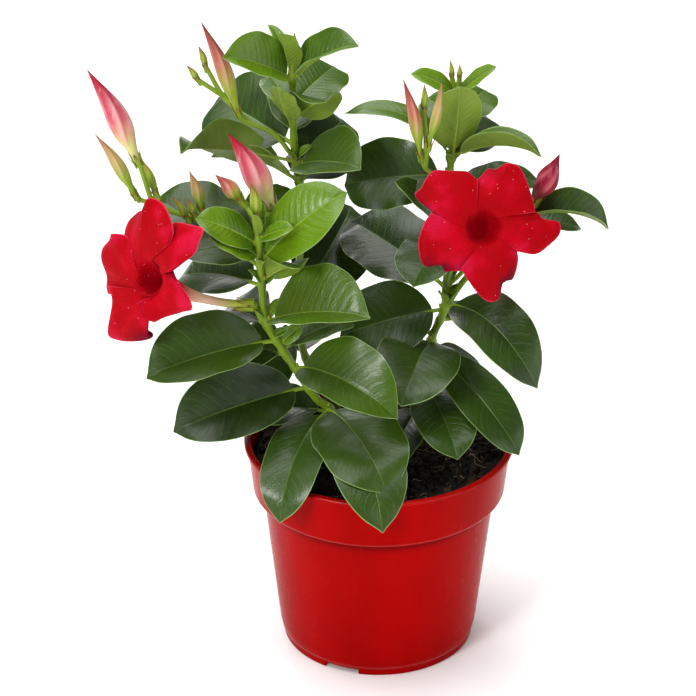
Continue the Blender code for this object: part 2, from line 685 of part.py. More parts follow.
def make_soil():
    """The soil fills the pot to just under the rim; its top is lumpy, with a plain hole for each stem."""
    random.seed(SOIL_SEED)
    floor = FOOT_HEIGHT + POT_WALL + SEAT_GAP
    gap = POT_WALL + SEAT_GAP

    def inner_radius(height):
        share = (height - BAND_BOTTOM - POT_WALL) / (POT_HEIGHT - BAND_BOTTOM - POT_WALL)
        return BAND_RADIUS_LOW + (BAND_RADIUS_HIGH - BAND_RADIUS_LOW) * share - gap

    profile = [(0, floor), (FOOT_RADIUS - FLOOR_CURVE - 1, floor)]
    profile.append((WALL_RADIUS_LOW - gap - 0.3, WALL_LOW + 1))
    profile.append((WALL_RADIUS_HIGH - gap - 0.1, BAND_BOTTOM - POT_WALL + 0.6))
    profile.append((BAND_RADIUS_LOW - gap - 0.1, BAND_BOTTOM + POT_WALL + 0.5))
    edge = inner_radius(SOIL_TOP) - SEAT_GAP
    for k in range(SOIL_RINGS):
        profile.append((edge * (SOIL_RINGS - k) / SOIL_RINGS, SOIL_TOP))
    profile.append((0, SOIL_TOP))
    soil = turned("soil", profile, POT_SIDES)
    for vert in soil.data.vertices:
        radius = math.hypot(vert.co.x, vert.co.y) / MM
        if vert.co.z > (SOIL_TOP - 1) * MM and radius < edge - SOIL_EDGE:
            vert.co.z += (random.random() - 0.5) * 2 * SOIL_RISE * MM
    bm = bmesh.new()
    bm.from_mesh(soil.data)
    bmesh.ops.triangulate(bm, faces=[f for f in bm.faces if f.calc_center_median().z > (SOIL_TOP - 3) * MM])
    bm.to_mesh(soil.data)
    bm.free()
    face_out(soil)
    cutters = []
    for name, points in (("left", LEFT_STEM), ("middle", MIDDLE_STEM), ("right", RIGHT_STEM)):
        foot = points[0]
        low = foot[2] - STEM_DEPTH - SEAT_GAP
        high = foot[2] + STEM_DEPTH
        cutters.append(round_cutter(f"hole_{name}", foot[:2], STEM_RADIUS + HOLE_SPARE, low, high))
    cut(soil, cutters)
    soil.data.materials.append(make_material("soil", "soil"))
    return soil


def main():
    clear_scene()
    plant = bpy.data.objects.new("plant", None)
    bpy.context.scene.collection.objects.link(plant)
    pieces = [make_pot(), make_soil()]
    pieces.append(make_stem("stem_left", LEFT_STEM, LEFT_LEAVES, LEFT_STALKS, LEFT_BUDS, (LEFT_FLOWER,)))
    pieces.append(make_stem("stem_middle", MIDDLE_STEM, MIDDLE_LEAVES, MIDDLE_STALKS, MIDDLE_BUDS, ()))
    pieces.append(make_stem("stem_right", RIGHT_STEM, RIGHT_LEAVES, RIGHT_STALKS, RIGHT_BUDS,
                            (RIGHT_FLOWER,), RIGHT_BRANCH, BRANCH_LEAVES))
    for bud in LEFT_BUDS + MIDDLE_BUDS + RIGHT_BUDS:
        if bud.name:
            body = spindle(bud.name, bud, BUD_SIDES, SEAT_GAP)
            face_out(body)
            body.data.materials.append(make_material(bud.name, "bud"))
            pieces.append(body)
    pieces.append(make_flower("flower_left", LEFT_FLOWER))
    pieces.append(make_flower("flower_right", RIGHT_FLOWER))
    for piece in pieces:
        piece.parent = plant
        piece.data.shade_smooth()
        piece.data.set_sharp_from_angle(angle=math.radians(SHARP_ANGLE))
    for item in bpy.context.scene.objects:
        if item.hide_render:
            item.parent = plant
    plant.location = Vector(POT_PLACE) * MM


main()
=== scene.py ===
# Dressed model of the potted jasmine: moulded red pot, peat, three leafy stems, buds and two open flowers.
import math
import random
from collections import namedtuple

import bmesh
import bpy
import numpy as np
from mathutils import Matrix, Vector, noise


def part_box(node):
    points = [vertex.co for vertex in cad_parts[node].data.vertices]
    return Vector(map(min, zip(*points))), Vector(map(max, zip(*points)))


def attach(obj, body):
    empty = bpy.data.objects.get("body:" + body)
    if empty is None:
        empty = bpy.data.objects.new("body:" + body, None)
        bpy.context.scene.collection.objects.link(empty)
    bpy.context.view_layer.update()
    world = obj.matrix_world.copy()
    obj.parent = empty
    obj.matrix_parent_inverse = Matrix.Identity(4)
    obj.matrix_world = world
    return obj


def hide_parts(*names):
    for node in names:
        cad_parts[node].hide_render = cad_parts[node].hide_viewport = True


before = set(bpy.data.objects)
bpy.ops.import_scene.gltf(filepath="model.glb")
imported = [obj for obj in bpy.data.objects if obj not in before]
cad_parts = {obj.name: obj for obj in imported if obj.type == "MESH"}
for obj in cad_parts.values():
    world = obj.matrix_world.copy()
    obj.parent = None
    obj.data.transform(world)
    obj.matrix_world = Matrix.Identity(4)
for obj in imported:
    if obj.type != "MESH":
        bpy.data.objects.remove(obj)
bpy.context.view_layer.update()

print("frame loaded:", len(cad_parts), "nodes")

# Lists below are in millimetres and degrees, from the middle of the pot's foot: +X right, +Y back, +Z up.
mm = 0.001
fullTurn = 2 * math.pi
potLow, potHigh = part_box("pot")
potMiddle = Vector(((potLow.x + potHigh.x) / 2, (potLow.y + potHigh.y) / 2, potLow.z))


# Finishes

def paint(*levels):  # a colour as a picture program shows it: red, green and blue, 0 to 255
    return (*[c / 255 / 12.92 if c <= 10 else ((c / 255 + 0.055) / 1.055) ** 2.4 for c in levels], 1.0)


def paints(**colours):
    return {name: paint(*levels) for name, levels in colours.items()}


class Wire:  # a node's output that sums can be written with
    def __init__(self, finish, socket):
        self.finish = finish
        self.socket = socket

    def sum(self, operation, *terms):
        return self.finish.node("Math", {"operation": operation}, dict(enumerate(terms)))

    def __add__(self, other):
        return self.sum("ADD", self, other)

    def __radd__(self, other):
        return self.sum("ADD", other, self)

    def __sub__(self, other):
        return self.sum("SUBTRACT", self, other)

    def __rsub__(self, other):
        return self.sum("SUBTRACT", other, self)

    def __mul__(self, other):
        return self.sum("MULTIPLY", self, other)

    def __rmul__(self, other):
        return self.sum("MULTIPLY", other, self)

    def __abs__(self):
        return self.sum("ABSOLUTE", self)

    def saw(self):  # from 0 up to 0.5 and back, once in each unit
        return self.sum("PINGPONG", self, 0.5)

    def band(self, low, high):  # 0 below low, 1 above high, smooth between
        return self.finish.node("MapRange", {"interpolation_type": "SMOOTHSTEP"},
                                {"Value": self, "From Min": low, "From Max": high})

    def fade(self, low, high):  # 1 below low, 0 above high
        return 1 - self.band(low, high)


class Finish:  # the nodes of one material, or of the room's light, and the ways to add to them
    def __init__(self, owner, shaderName="Principled BSDF", **sockets):
        owner.use_nodes = True
        self.owner = owner
        self.tree = owner.node_tree
        self.shader = self.tree.nodes[shaderName]
        for key, value in sockets.items():
            self.shader.inputs[key.replace("_", " ")].default_value = value

    def node(self, kind, settings=None, sockets=None, out=0):
        made = self.tree.nodes.new("ShaderNode" + kind)
        for key, value in (settings or {}).items():
            if key == "stops":
                elements = made.color_ramp.elements
                while len(elements) < len(value):
                    elements.new(0.5)
                for element, (place, colour) in zip(elements, value):
                    element.position = place
                    element.color = colour
            else:
                setattr(made, key, value)
        for key, value in (sockets or {}).items():
            if isinstance(value, Wire):
                self.tree.links.new(value.socket, made.inputs[key])
            else:
                made.inputs[key].default_value = value
        return Wire(self, made.outputs[out])

    def mark(self, name):
        return self.node("Attribute", {"attribute_name": name}, out=2)

    def blend(self, factor, first, second):
        return self.node("Mix", {"data_type": "RGBA"}, {0: factor, 6: first, 7: second}, out=2)

    def coats(self, colour, *layers):  # each layer is a mask and the colour that it lays over those before it
        for mask, layer in layers:
            colour = self.blend(mask, colour, layer)
        return colour

    def place(self, stretch=(1, 1, 1)):
        point = self.node("TexCoord", out=3)
        return self.node("VectorMath", {"operation": "MULTIPLY"}, {0: point, 1: stretch})

    def grain(self, scale, detail=2.0, stretch=(1, 1, 1), rough=0.5):
        return self.node("TexNoise", {}, {"Vector": self.place(stretch), "Scale": scale, "Detail": detail,
                                          "Roughness": rough})

    def ramp(self, value, *stops):
        return self.node("ValToRGB", {"stops": stops}, {"Fac": value})

    def bump(self, height, depth):
        return self.node("Bump", {}, {"Height": height, "Distance": depth * mm})

    def feed(self, **wires):
        for key, wire in wires.items():
            self.tree.links.new(wire.socket, self.shader.inputs[key.replace("_", " ")])
        return self.owner


def newFinish(name, **sockets):
    return Finish(bpy.data.materials.new(name), **sockets)


veinLook = {
    "count": 12,            # side veins on each half of a blade
    "lean": 0.19,           # how far a side vein runs towards the tip before the margin
    "sweep": 0.05,          # its last bend along the margin
    "line": 0.06,           # width of a side vein, as a share of their spacing
    "start": (0.02, 0.08),  # where it shows outside the midrib, as a share of the half width
    "end": (0.62, 0.96),    # where it fades before the margin
    "rib": (0.2, 0.62),     # half the width of the midrib's pale line at the blade's foot, in mm
    "ribTaper": 0.34,       # how much narrower that is at the tip, in mm
    "rim": (0.12, 0.42),    # width of the pale margin, in mm
    "netScale": 900.0,      # cells of the fine net, a metre
}


def veinWires(finish):
    look = veinLook
    along, fromRib, tone = (finish.mark(name) for name in ("along", "fromRib", "tone"))
    aside = abs(finish.mark("across"))
    place = (along - (aside * look["lean"] + aside * aside * aside * look["sweep"])) * look["count"]
    gap = place.saw()
    side = gap.fade(0.0, look["line"]) * aside.fade(*look["end"]) * aside.band(*look["start"])
    rib = (fromRib + along * look["ribTaper"]).fade(*look["rib"])
    rim = finish.mark("toRim").fade(*look["rim"])
    spot = finish.node("CombineXYZ", {}, {0: place * 2.6, 1: fromRib * 0.16, 2: tone * 40})
    crease = finish.node("TexNoise", {}, {"Vector": spot, "Scale": 1.0, "Detail": 3.0, "Roughness": 0.6})
    quilt = gap.band(0.0, 0.5) * aside.fade(0.6, 1.0) * crease.band(0.3, 0.7)
    return side, rib, rim, crease, quilt


def makeLeafTop():
    look = paints(old=(48, 74, 12), oldDark=(28, 46, 8), young=(104, 142, 6), youngDark=(66, 104, 4),
                  vein=(100, 130, 54), youngVein=(172, 198, 74), rim=(140, 168, 96))
    finish = newFinish("leafTop", Coat_Weight=0.15, Coat_Roughness=0.18, IOR=1.42)
    side, rib, rim, crease, quilt = veinWires(finish)
    young = finish.mark("young")
    shade = finish.grain(55.0, 3.0) + finish.mark("tone")
    speck = finish.grain(420.0, 3.0, rough=0.7)
    old = finish.blend(shade.band(0.62, 1.25), look["oldDark"], look["old"])
    fresh = finish.blend(shade.band(0.62, 1.2), look["youngDark"], look["young"])
    line = finish.blend(young, look["vein"], look["youngVein"])
    colour = finish.coats(finish.blend(young, old, fresh),
                          (speck.band(0.55, 0.85) * 0.22, look["vein"]),
                          (side * (0.12 + young * 0.2), line), (rib * 0.72, line), (rim * 0.75, look["rim"]))
    net = finish.node("TexVoronoi", {"feature": "DISTANCE_TO_EDGE"},
                      {"Vector": finish.place(), "Scale": veinLook["netScale"]})
    relief = net.band(0.0, 0.25) * 0.2 + speck * 0.4 + crease
    relief = relief + quilt * (0.25 + young * 0.35) - side * 0.5 - rib
    rough = 0.18 + speck * 0.16 + crease * 0.14 - young * 0.05
    return finish.feed(Base_Color=colour, Roughness=rough, Normal=finish.bump(relief, 0.15))


def makeLeafUnder():
    look = paints(old=(86, 108, 44), young=(126, 152, 44), vein=(152, 170, 80), rim=(130, 158, 78))
    finish = newFinish("leafUnder", IOR=1.35, Specular_IOR_Level=0.3)
    side, rib, rim, crease, quilt = veinWires(finish)
    speck = finish.grain(500.0, 3.0)
    colour = finish.coats(finish.blend(finish.mark("young"), look["old"], look["young"]),
                          (finish.grain(70.0, 3.0).band(0.35, 0.7) * 0.18, look["vein"]),
                          (side * 0.35, look["vein"]), (rib * 0.6, look["vein"]), (rim * 0.6, look["rim"]))
    relief = speck * 0.4 + crease * 0.6 + side + rib - quilt * 0.6
    return finish.feed(Base_Color=colour, Roughness=0.5 + speck * 0.14, Normal=finish.bump(relief, 0.1))


def makeLeafRim():
    finish = newFinish("leafRim", Roughness=0.45)
    speck = finish.grain(300.0).band(0.3, 0.7)
    return finish.feed(Base_Color=finish.blend(speck, paint(104, 132, 62), paint(140, 166, 92)))


def makeBark(name, low, high, scar):  # skin of stems and stalks, with the mark "along" from foot to top
    finish = newFinish(name, IOR=1.42)
    streak = finish.grain(260.0, 3.0, (1, 1, 0.12))
    cork = finish.grain(700.0, 2.0).band(0.66, 0.74)
    colour = finish.blend(finish.mark("along").band(0.0, 0.35), paint(*low), paint(*high))
    colour = finish.coats(colour, (streak.band(0.45, 0.7) * 0.45, paint(*scar)),
                          (cork * 0.5, paint(150, 130, 80)))
    return finish.feed(Base_Color=colour, Roughness=0.36 + streak * 0.2,
                       Normal=finish.bump(streak + cork * 0.6, 0.12))


budLooks = {
    # how far the foot's colour reaches, then the colours of foot, middle, tip, pale streaks and seams
    "pink": (0.16, (208, 208, 130), (204, 84, 104), (170, 10, 44), (240, 190, 186), (120, 8, 38)),
    "salmon": (0.3, (146, 168, 44), (180, 98, 82), (150, 58, 58), (220, 164, 140), (92, 26, 24)),
    "tan": (0.3, (130, 160, 36), (184, 158, 100), (168, 116, 82), (206, 180, 124), (84, 50, 24)),
    "crimson": (0.1, (172, 72, 82), (142, 8, 42), (122, 4, 36), (214, 110, 124), (76, 4, 26)),
    "green": (0.3, (116, 150, 24), (140, 160, 44), (150, 96, 50), (190, 186, 110), (88, 58, 24)),
}


def makeBudSkin(name, footShare, *colours):
    foot, middle, tip, pale, dark = (paint(*colour) for colour in colours)
    finish = newFinish(name, IOR=1.38, Specular_IOR_Level=0.35)
    along = finish.mark("along")  # from foot to tip
    seam = finish.mark("across")  # 0 to 1 over each petal
    streak = finish.grain(520.0, 3.0, (1, 1, 0.2))
    colour = finish.ramp(along + (streak - 0.5) * 0.2,
                         (footShare, foot), (footShare * 0.6 + 0.38, middle), (0.9, tip))
    worn = seam.band(0.25, 0.75) * seam.fade(0.75, 0.95) * along.band(0.16, 0.4)
    edge = seam.band(0.86, 0.99) * along.band(0.12, 0.4)
    colour = finish.coats(colour, (worn * along.fade(0.55, 0.85) * 0.55, pale),
                          (streak.band(0.52, 0.75) * 0.4, pale), (edge * 0.7, dark),
                          (along.band(0.93, 1.0) * 0.6, dark))
    return finish.feed(Base_Color=colour, Roughness=0.4 + streak * 0.2, Normal=finish.bump(streak, 0.14))


def makeSepal():
    finish = newFinish("sepal", IOR=1.4)
    streak = finish.grain(600.0, 2.0)
    colour = finish.ramp(finish.mark("along") + (streak - 0.5) * 0.5, (0.1, paint(124, 152, 28)),
                         (0.6, paint(140, 146, 44)), (1.0, paint(120, 50, 26)))
    return finish.feed(Base_Color=colour, Roughness=0.4 + streak * 0.2)


def makePetal():
    look = paints(red=(182, 0, 23), deep=(158, 0, 11), throat=(140, 0, 5), dusk=(44, 8, 34),
                  blush=(206, 36, 84), edge=(226, 70, 100), back=(176, 12, 34), tube=(228, 186, 158),
                  tubeFoot=(176, 184, 70), speck=(240, 180, 180), sheen=(255, 90, 120))
    # Emission_Strength is the strength of the throat's painted glow.
    finish = newFinish("petal", IOR=1.35, Specular_IOR_Level=0.08, Sheen_Weight=0.14, Sheen_Roughness=0.3,
                       Sheen_Tint=look["sheen"], Emission_Strength=0.26)
    along = finish.mark("along")  # 0 at the throat and 1 at the lobes' edge, below 0 down the tube
    across, back = finish.mark("across"), finish.mark("back")
    streak = (across * 13).saw()
    cloud = finish.grain(75.0, 3.0)
    fine = finish.grain(900.0, 3.0)
    dots = finish.node("TexVoronoi", {}, {"Vector": finish.place(), "Scale": 330.0})
    # Painted sheen: blotchy pink light on the outer parts of the lobes.
    blush = cloud.band(0.46, 0.7) * along.band(0.25, 0.8)
    # Painted shade: the lobes' feet and the funnel's inside turn darker red towards the throat, where shade
    # falls.
    throatShade = along.fade(-0.42, 0.1)
    # Painted light: the throat's inside glows red through the emission, lifting its painted shade.
    throatPaintedLight = finish.blend(throatShade * (1 - back), (0, 0, 0, 1), look["red"])
    sideEdge = abs(across).band(0.97, 1.0) * along.band(0.4, 0.8) * 0.3
    tube = finish.blend(along.band(-0.95, -0.6), look["tubeFoot"], look["tube"])
    # Over the petal's own red, one over another: vein streaks, a painted pink sheen, painted shade in the
    # throat, the edge colour, painted shade in the curled edges, specks and the tube's outside.
    colour = finish.coats(finish.blend(cloud.band(0.35, 0.68), look["deep"], look["red"]),
                          (streak.fade(0.0, 0.12) * 0.12, look["deep"]),
                          (blush * 0.32, look["blush"]), (throatShade * 0.9, look["throat"]),
                          (along.band(0.975, 1.0) * 0.6 + sideEdge, look["edge"]),
                          (finish.mark("dusk") * 0.9, look["dusk"]),
                          (dots.fade(0.045, 0.075) * 0.6, look["speck"]),
                          (back, finish.blend(along.band(-0.6, -0.25), tube, look["back"])))
    relief = streak.band(0.0, 0.3) * 0.4 + fine * 0.3 + cloud * 0.6
    return finish.feed(Base_Color=colour, Roughness=0.52 + fine * 0.2, Normal=finish.bump(relief, 0.14),
                       Emission_Color=throatPaintedLight)


def makePotPlastic():
    look = paints(red=(168, 0, 0), deep=(150, 0, 0), dust=(180, 36, 32), crease=(84, 0, 6))
    bandShadowLow, bandShadowHigh, bandShadowEnd = 0.0672, 0.0725, 0.0746  # the painted shadow line under the rim band, metres up
    edges, edgeReach = (0.0977, 0.0748, 0.0041), 0.0011        # the polished edges, metres up, and reach
    finish = newFinish("potPlastic", IOR=1.45, Specular_IOR_Level=0.02, Coat_Roughness=0.22)
    flow = finish.grain(26.0, 3.0, (1, 1, 0.5))
    scuff = finish.grain(210.0, 4.0, (1, 1, 0.25), rough=0.7)
    film = finish.grain(48.0, 5.0, rough=0.65).band(0.6, 0.8)
    level = finish.node("SeparateXYZ", {}, {0: finish.place()}, 2)
    # Painted shadow: a dark line on the wall just under the rim band's overhang.
    crease = level.band(bandShadowLow, bandShadowHigh) * level.fade(bandShadowHigh, bandShadowEnd)
    colour = finish.coats(finish.blend(flow.band(0.3, 0.7), look["deep"], look["red"]),
                          (film * 0.06, look["dust"]), (crease * 0.7, look["crease"]))
    polish = scuff * 0.04
    for edge in edges:
        polish = polish + abs(level - edge).fade(edgeReach * 0.3, edgeReach) * 0.4
    rough = 0.24 + film * 0.12 + scuff.band(0.5, 0.8) * 0.1
    relief = flow + scuff.band(0.55, 0.8) * 0.06
    return finish.feed(Base_Color=colour, Roughness=rough, Coat_Weight=polish,
                       Normal=finish.bump(relief, 0.3))


def makePeat():
    finish = newFinish("peat", IOR=1.35)
    clump = finish.grain(150.0, 5.0, rough=0.7)
    fine = finish.grain(1400.0, 4.0, rough=0.75)
    colour = finish.ramp(clump * 0.6 + fine * 0.4 + finish.mark("tone") * 0.3, (0.34, paint(8, 6, 5)),
                         (0.58, paint(24, 17, 12)), (0.86, paint(66, 49, 36)))
    return finish.feed(Base_Color=colour, Roughness=0.72 + fine * 0.25, Normal=finish.bump(fine + clump, 0.5))


def makeFibre():
    finish = newFinish("fibre", Roughness=0.8)
    shade = (finish.mark("tone") + (finish.grain(900.0) - 0.5)).band(0.1, 0.9)
    return finish.feed(Base_Color=finish.blend(shade, paint(70, 50, 34), paint(168, 138, 104)))


leafFinishes = [makeLeafTop(), makeLeafUnder(), makeLeafRim()]
stemBark = makeBark("stemBark", (92, 110, 26), (118, 148, 18), (86, 104, 16))
stalkSkin = makeBark("stalkSkin", (116, 148, 22), (130, 160, 34), (150, 158, 50))
sepalSkin = makeSepal()
petalSkin = makePetal()
budSkins = {name: makeBudSkin("bud" + name.capitalize(), *look) for name, look in budLooks.items()}
potPlastic = makePotPlastic()
peatFinishes = [makePeat(), makeFibre()]
print("finishes made:", len(bpy.data.materials))


# Mesh building

def placed(name, data):
    made = bpy.data.objects.new(name, data)
    bpy.context.scene.collection.objects.link(made)
    return made


class Heap:  # the points and faces of one piece, with the marks that its finishes read
    def __init__(self, *markNames):
        self.points, self.faces, self.finishes = [], [], []
        self.marks = {name: [] for name in markNames}
        self.count = 0

    def add(self, points, faceBlocks, finishes=0, **marks):  # one finish for all blocks, or one for each
        for block, finish in zip(faceBlocks, np.broadcast_to(finishes, len(faceBlocks))):
            self.faces.append(np.asarray(block, int) + self.count)
            self.finishes.append(np.full(len(block), finish))
        for name, blocks in self.marks.items():
            blocks.append(np.broadcast_to(marks.get(name, 0.0), points.shape[:-1]).ravel())
        self.points.append(points.reshape(-1, 3))
        self.count += len(self.points[-1])

    def build(self, name, materials, sharpAngle=50):
        mesh = bpy.data.meshes.new(name)
        faces = [face for block in self.faces for face in block.tolist()]
        mesh.from_pydata((np.concatenate(self.points) * mm).tolist(), [], faces)
        for material in materials:
            mesh.materials.append(material)
        mesh.polygons.foreach_set("material_index", np.concatenate(self.finishes).astype(np.int32))
        for markName, blocks in self.marks.items():
            layer = mesh.attributes.new(markName, "FLOAT", "POINT")
            layer.data.foreach_set("value", np.concatenate(blocks).astype(np.float32))
        mesh.shade_smooth()
        mesh.set_sharp_from_angle(angle=math.radians(sharpAngle))
        mesh.update()
        piece = placed(name, mesh)
        piece.location = potMiddle
        return piece


def settle(piece, node):
    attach(piece, "root")
    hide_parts(node)
    print(piece.name, "faces:", len(piece.data.polygons))


def smoothStep(low, high, value):
    share = np.clip((np.asarray(value, float) - low) / (high - low), 0, 1)
    return share * share * (3 - 2 * share)


def unit(vector):
    return vector / np.linalg.norm(vector)


def circle(sides):
    return np.arange(sides) * fullTurn / sides


def crossWays(way):  # two directions square to this one
    side = np.array(Vector(way).orthogonal().normalized())
    return side, np.cross(way, side)


def spread(middle, side, other, x, y):  # points at these distances along the two directions
    return middle + side * x[..., None] + other * y[..., None]


def throughPoints(points, places):  # a smooth height over the places, through a short list of points
    x, y = np.array(points, float).T
    slope = np.gradient(y, x)
    k = np.clip(np.searchsorted(x, places, side="right") - 1, 0, len(x) - 2)
    step = x[k + 1] - x[k]
    t = (places - x[k]) / step
    return ((2 * t ** 3 - 3 * t ** 2 + 1) * y[k] + (t ** 3 - 2 * t ** 2 + t) * step * slope[k]
            + (3 * t ** 2 - 2 * t ** 3) * y[k + 1] + (t ** 3 - t ** 2) * step * slope[k + 1])


def smoothRoute(points, steps):
    pts = np.array(points, float)
    ends = np.vstack((2 * pts[0] - pts[1], pts, 2 * pts[-1] - pts[-2]))
    route = []
    for a, b, c, d in zip(ends, ends[1:], ends[2:], ends[3:]):
        for t in np.arange(steps) / steps:
            route.append(0.5 * (2 * b + (c - a) * t + (2 * a - 5 * b + 4 * c - d) * t ** 2
                                + (3 * b - a - 3 * c + d) * t ** 3))
    return np.array(route + [pts[-1]])


def gridFaces(rows, columns, first=0, wrap=False, turned=False):
    i, j = np.meshgrid(np.arange(rows - 1), np.arange(columns if wrap else columns - 1), indexing="ij")
    a = first + i * columns + j
    b = first + i * columns + (j + 1) % columns
    order = (a, a + columns, b + columns, b) if turned else (a, b, b + columns, a + columns)
    return np.stack(order, -1).reshape(-1, 4)


def ringsAlong(path, radii, sides):  # circles across a path, turned as little as possible
    ahead = np.gradient(path, axis=0)
    side = crossWays(ahead[0])[0]
    angles = circle(sides)
    rings = []
    for point, way, radius in zip(path, ahead, radii):
        way = unit(way)
        side = unit(side - way * side.dot(way))
        other = np.cross(way, side)
        rings.append(point + radius * (np.outer(np.cos(angles), side) + np.outer(np.sin(angles), other)))
    return np.array(rings)


def addRings(heap, rings, finish, **marks):  # a closed skin over rings of points
    rows, sides = rings.shape[:2]
    ring = np.arange(sides)[None]
    blocks = [gridFaces(rows, sides, wrap=True), ring[:, ::-1], ring + (rows - 1) * sides]
    heap.add(rings, blocks, finish, **marks)


def addTube(heap, path, radii, sides, finish, along=None):
    share = np.linspace(0, 1, len(path)) if along is None else along
    addRings(heap, ringsAlong(path, radii, sides), finish, along=share[:, None])


def addSheet(heap, top, low, finishes, **marks):  # a closed sheet between two grids: upper, lower and rim
    rows, columns = top.shape[:2]
    count = rows * columns
    left = np.arange(rows - 1) * columns
    right = left + columns - 1
    start = np.arange(columns - 1)
    end = start + (rows - 1) * columns
    rims = [np.stack(corners, -1) for corners in (
        (left, left + count, left + columns + count, left + columns),
        (right, right + columns, right + columns + count, right + count),
        (start, start + 1, start + 1 + count, start + count),
        (end, end + count, end + 1 + count, end + 1))]
    blocks = [gridFaces(rows, columns, turned=True), gridFaces(rows, columns, count), np.concatenate(rims)]
    heap.add(np.stack((top, low)), blocks, finishes, **marks)


# Pot

potForm = {
    "height": 97.7, "rim": 60.0, "lip": 2.2, "wall": 1.6, "hub": 0.5,
    "bandFoot": 74.5, "bandLow": 56.3, "bandHigh": 58.5,
    "wallHigh": 52.1, "wallLow": 44.9, "wallFoot": 9.0,
    "foot": 43.2, "footHeight": 4.0, "footWidth": 1.9,
    "rounding": 0.8,                  # reach of the arc at each corner
    "wobble": 0.12,                   # how far the moulded wall is out of round
    "stepAngle": 1.5,
    "notches": (247, 7, 127), "notchHalf": 10.8, "notchHeight": 2.6, "notchSlope": 0.08,
    "drainCount": 4, "drainRadius": 4.0, "drainCircle": 28.0, "drainSides": 28, "drillLength": 10,
}


def roundedCorners(corners, reach, steps=4):  # a profile whose corners are arcs of about this reach
    pts = [np.array(p, float) for p in corners]
    out = [pts[0]]
    for before, corner, after in zip(pts, pts[1:], pts[2:]):
        inward, onward = before - corner, after - corner
        cut = min(reach, np.linalg.norm(inward) * 0.4, np.linalg.norm(onward) * 0.4)
        a, c = corner + unit(inward) * cut, corner + unit(onward) * cut
        for t in np.arange(steps + 1) / steps:
            out.append((1 - t) ** 2 * a + 2 * t * (1 - t) * corner + t ** 2 * c)
    return np.array(out + [pts[-1]])


def potProfile():  # radius and height, from the underside's middle round the rim to the floor's middle
    form = potForm
    wall, bandFoot, floorLow = form["wall"], form["bandFoot"], form["footHeight"]
    lipLow = form["height"] - form["lip"]
    inside = form["foot"] - form["footWidth"]
    corners = [
        (form["hub"], floorLow), (inside, floorLow), (inside, 0), (form["foot"], 0),
        (form["foot"] + 0.25, floorLow - 0.5), (form["foot"] + 0.75, floorLow),
        (form["wallLow"] - 0.1, form["wallFoot"] - 1), (form["wallHigh"], bandFoot - 0.4),
        (form["bandLow"], bandFoot), (form["bandHigh"], lipLow), (form["rim"], lipLow + 0.3),
        (form["rim"], form["height"]), (form["bandHigh"] - wall, form["height"]),
        (form["bandLow"] - wall, bandFoot + wall), (form["wallHigh"] - wall, bandFoot - wall),
        (form["wallLow"] - wall, form["wallFoot"]), (form["foot"] - 1.2, floorLow + wall),
        (form["hub"], floorLow + wall),
    ]
    return roundedCorners(corners, form["rounding"])


def drain(pot, turn):
    form = potForm
    reach = form["drainCircle"]
    bpy.ops.mesh.primitive_cylinder_add(vertices=form["drainSides"], radius=form["drainRadius"] * mm,
                                        depth=form["drillLength"] * mm)
    drill = bpy.context.object
    spot = Vector((reach * math.cos(turn), reach * math.sin(turn), form["footHeight"] + 1))
    drill.location = potMiddle + spot * mm
    hole = pot.modifiers.new("drain", "BOOLEAN")
    hole.operation = "DIFFERENCE"
    hole.object = drill
    bpy.context.view_layer.update()
    cutMesh = bpy.data.meshes.new_from_object(pot.evaluated_get(bpy.context.evaluated_depsgraph_get()))
    pot.modifiers.clear()
    pot.data = cutMesh
    bpy.data.objects.remove(drill, do_unlink=True)


def makePot():
    form = potForm
    radius, height = (column[:, None] for column in potProfile().T)
    headings = set(np.round(np.arange(0, 360, form["stepAngle"]), 3))
    headings |= {round((notch + edge + side) % 360, 3) for notch in form["notches"]
                 for edge in (-form["notchHalf"], form["notchHalf"])
                 for side in (-form["notchSlope"], form["notchSlope"])}
    angles = np.radians(sorted(headings))
    away = np.abs((np.degrees(angles) - np.array(form["notches"])[:, None] + 180) % 360 - 180).min(0)
    height = np.maximum(height, (away < form["notchHalf"]) * form["notchHeight"])
    wobble = form["wobble"] * np.sin(3 * angles + 0.6) * smoothStep(20, 95, height)
    radius = radius + np.where(radius > 40, wobble - form["wobble"], 0)
    heap = Heap()
    addRings(heap, np.stack((radius * np.cos(angles), radius * np.sin(angles), height), -1), 0)
    pot = heap.build("nurseryPot", [potPlastic], 35)
    for k in range(form["drainCount"]):
        drain(pot, fullTurn * (k + 0.5) / form["drainCount"])
    settle(pot, "pot")


# Soil

soilForm = {
    "top": 90.6, "edge": 54.4, "bump": 1.7, "rings": 62, "sides": 150, "seed": 11,
    "wall": ((40.0, 6.2), (42.6, 10.5), (49.9, 73.2), (54.3, 77.2)),  # radius and height, upwards
    "lumps": ((950, 2, (0.7, 2.3)), (1500, 1, (0.35, 0.9))),  # crumbs, then specks: number, fineness, size
    "lumpMargin": 1.6, "lumpStretch": (0.7, 1.3), "knobs": 0.45,
    "fibres": 170, "fibreMargin": 4, "fibreLength": (3, 12), "fibreBend": 1.4, "fibreRadius": (0.1, 0.26),
    "fibreTaper": (0.4, 1, 1, 1, 1, 0.8, 0.3), "fibreSides": 5, "fibreLift": 0.7,
    "stemFeet": ((-15, -5), (-14, 24), (18, 5)), "dip": 0.9,
}


def soilHeight(x, y):
    point = Vector((x, y, 0))
    rough = noise.fractal(point * 0.09, 1.0, 2.1, 4) + 0.35 * noise.fractal(point * 0.5, 0.8, 2.0, 3)
    height = soilForm["top"] + rough * soilForm["bump"]
    for stemX, stemY in soilForm["stemFeet"]:
        height -= soilForm["dip"] * math.exp(-((x - stemX) ** 2 + (y - stemY) ** 2) / 8)
    return height


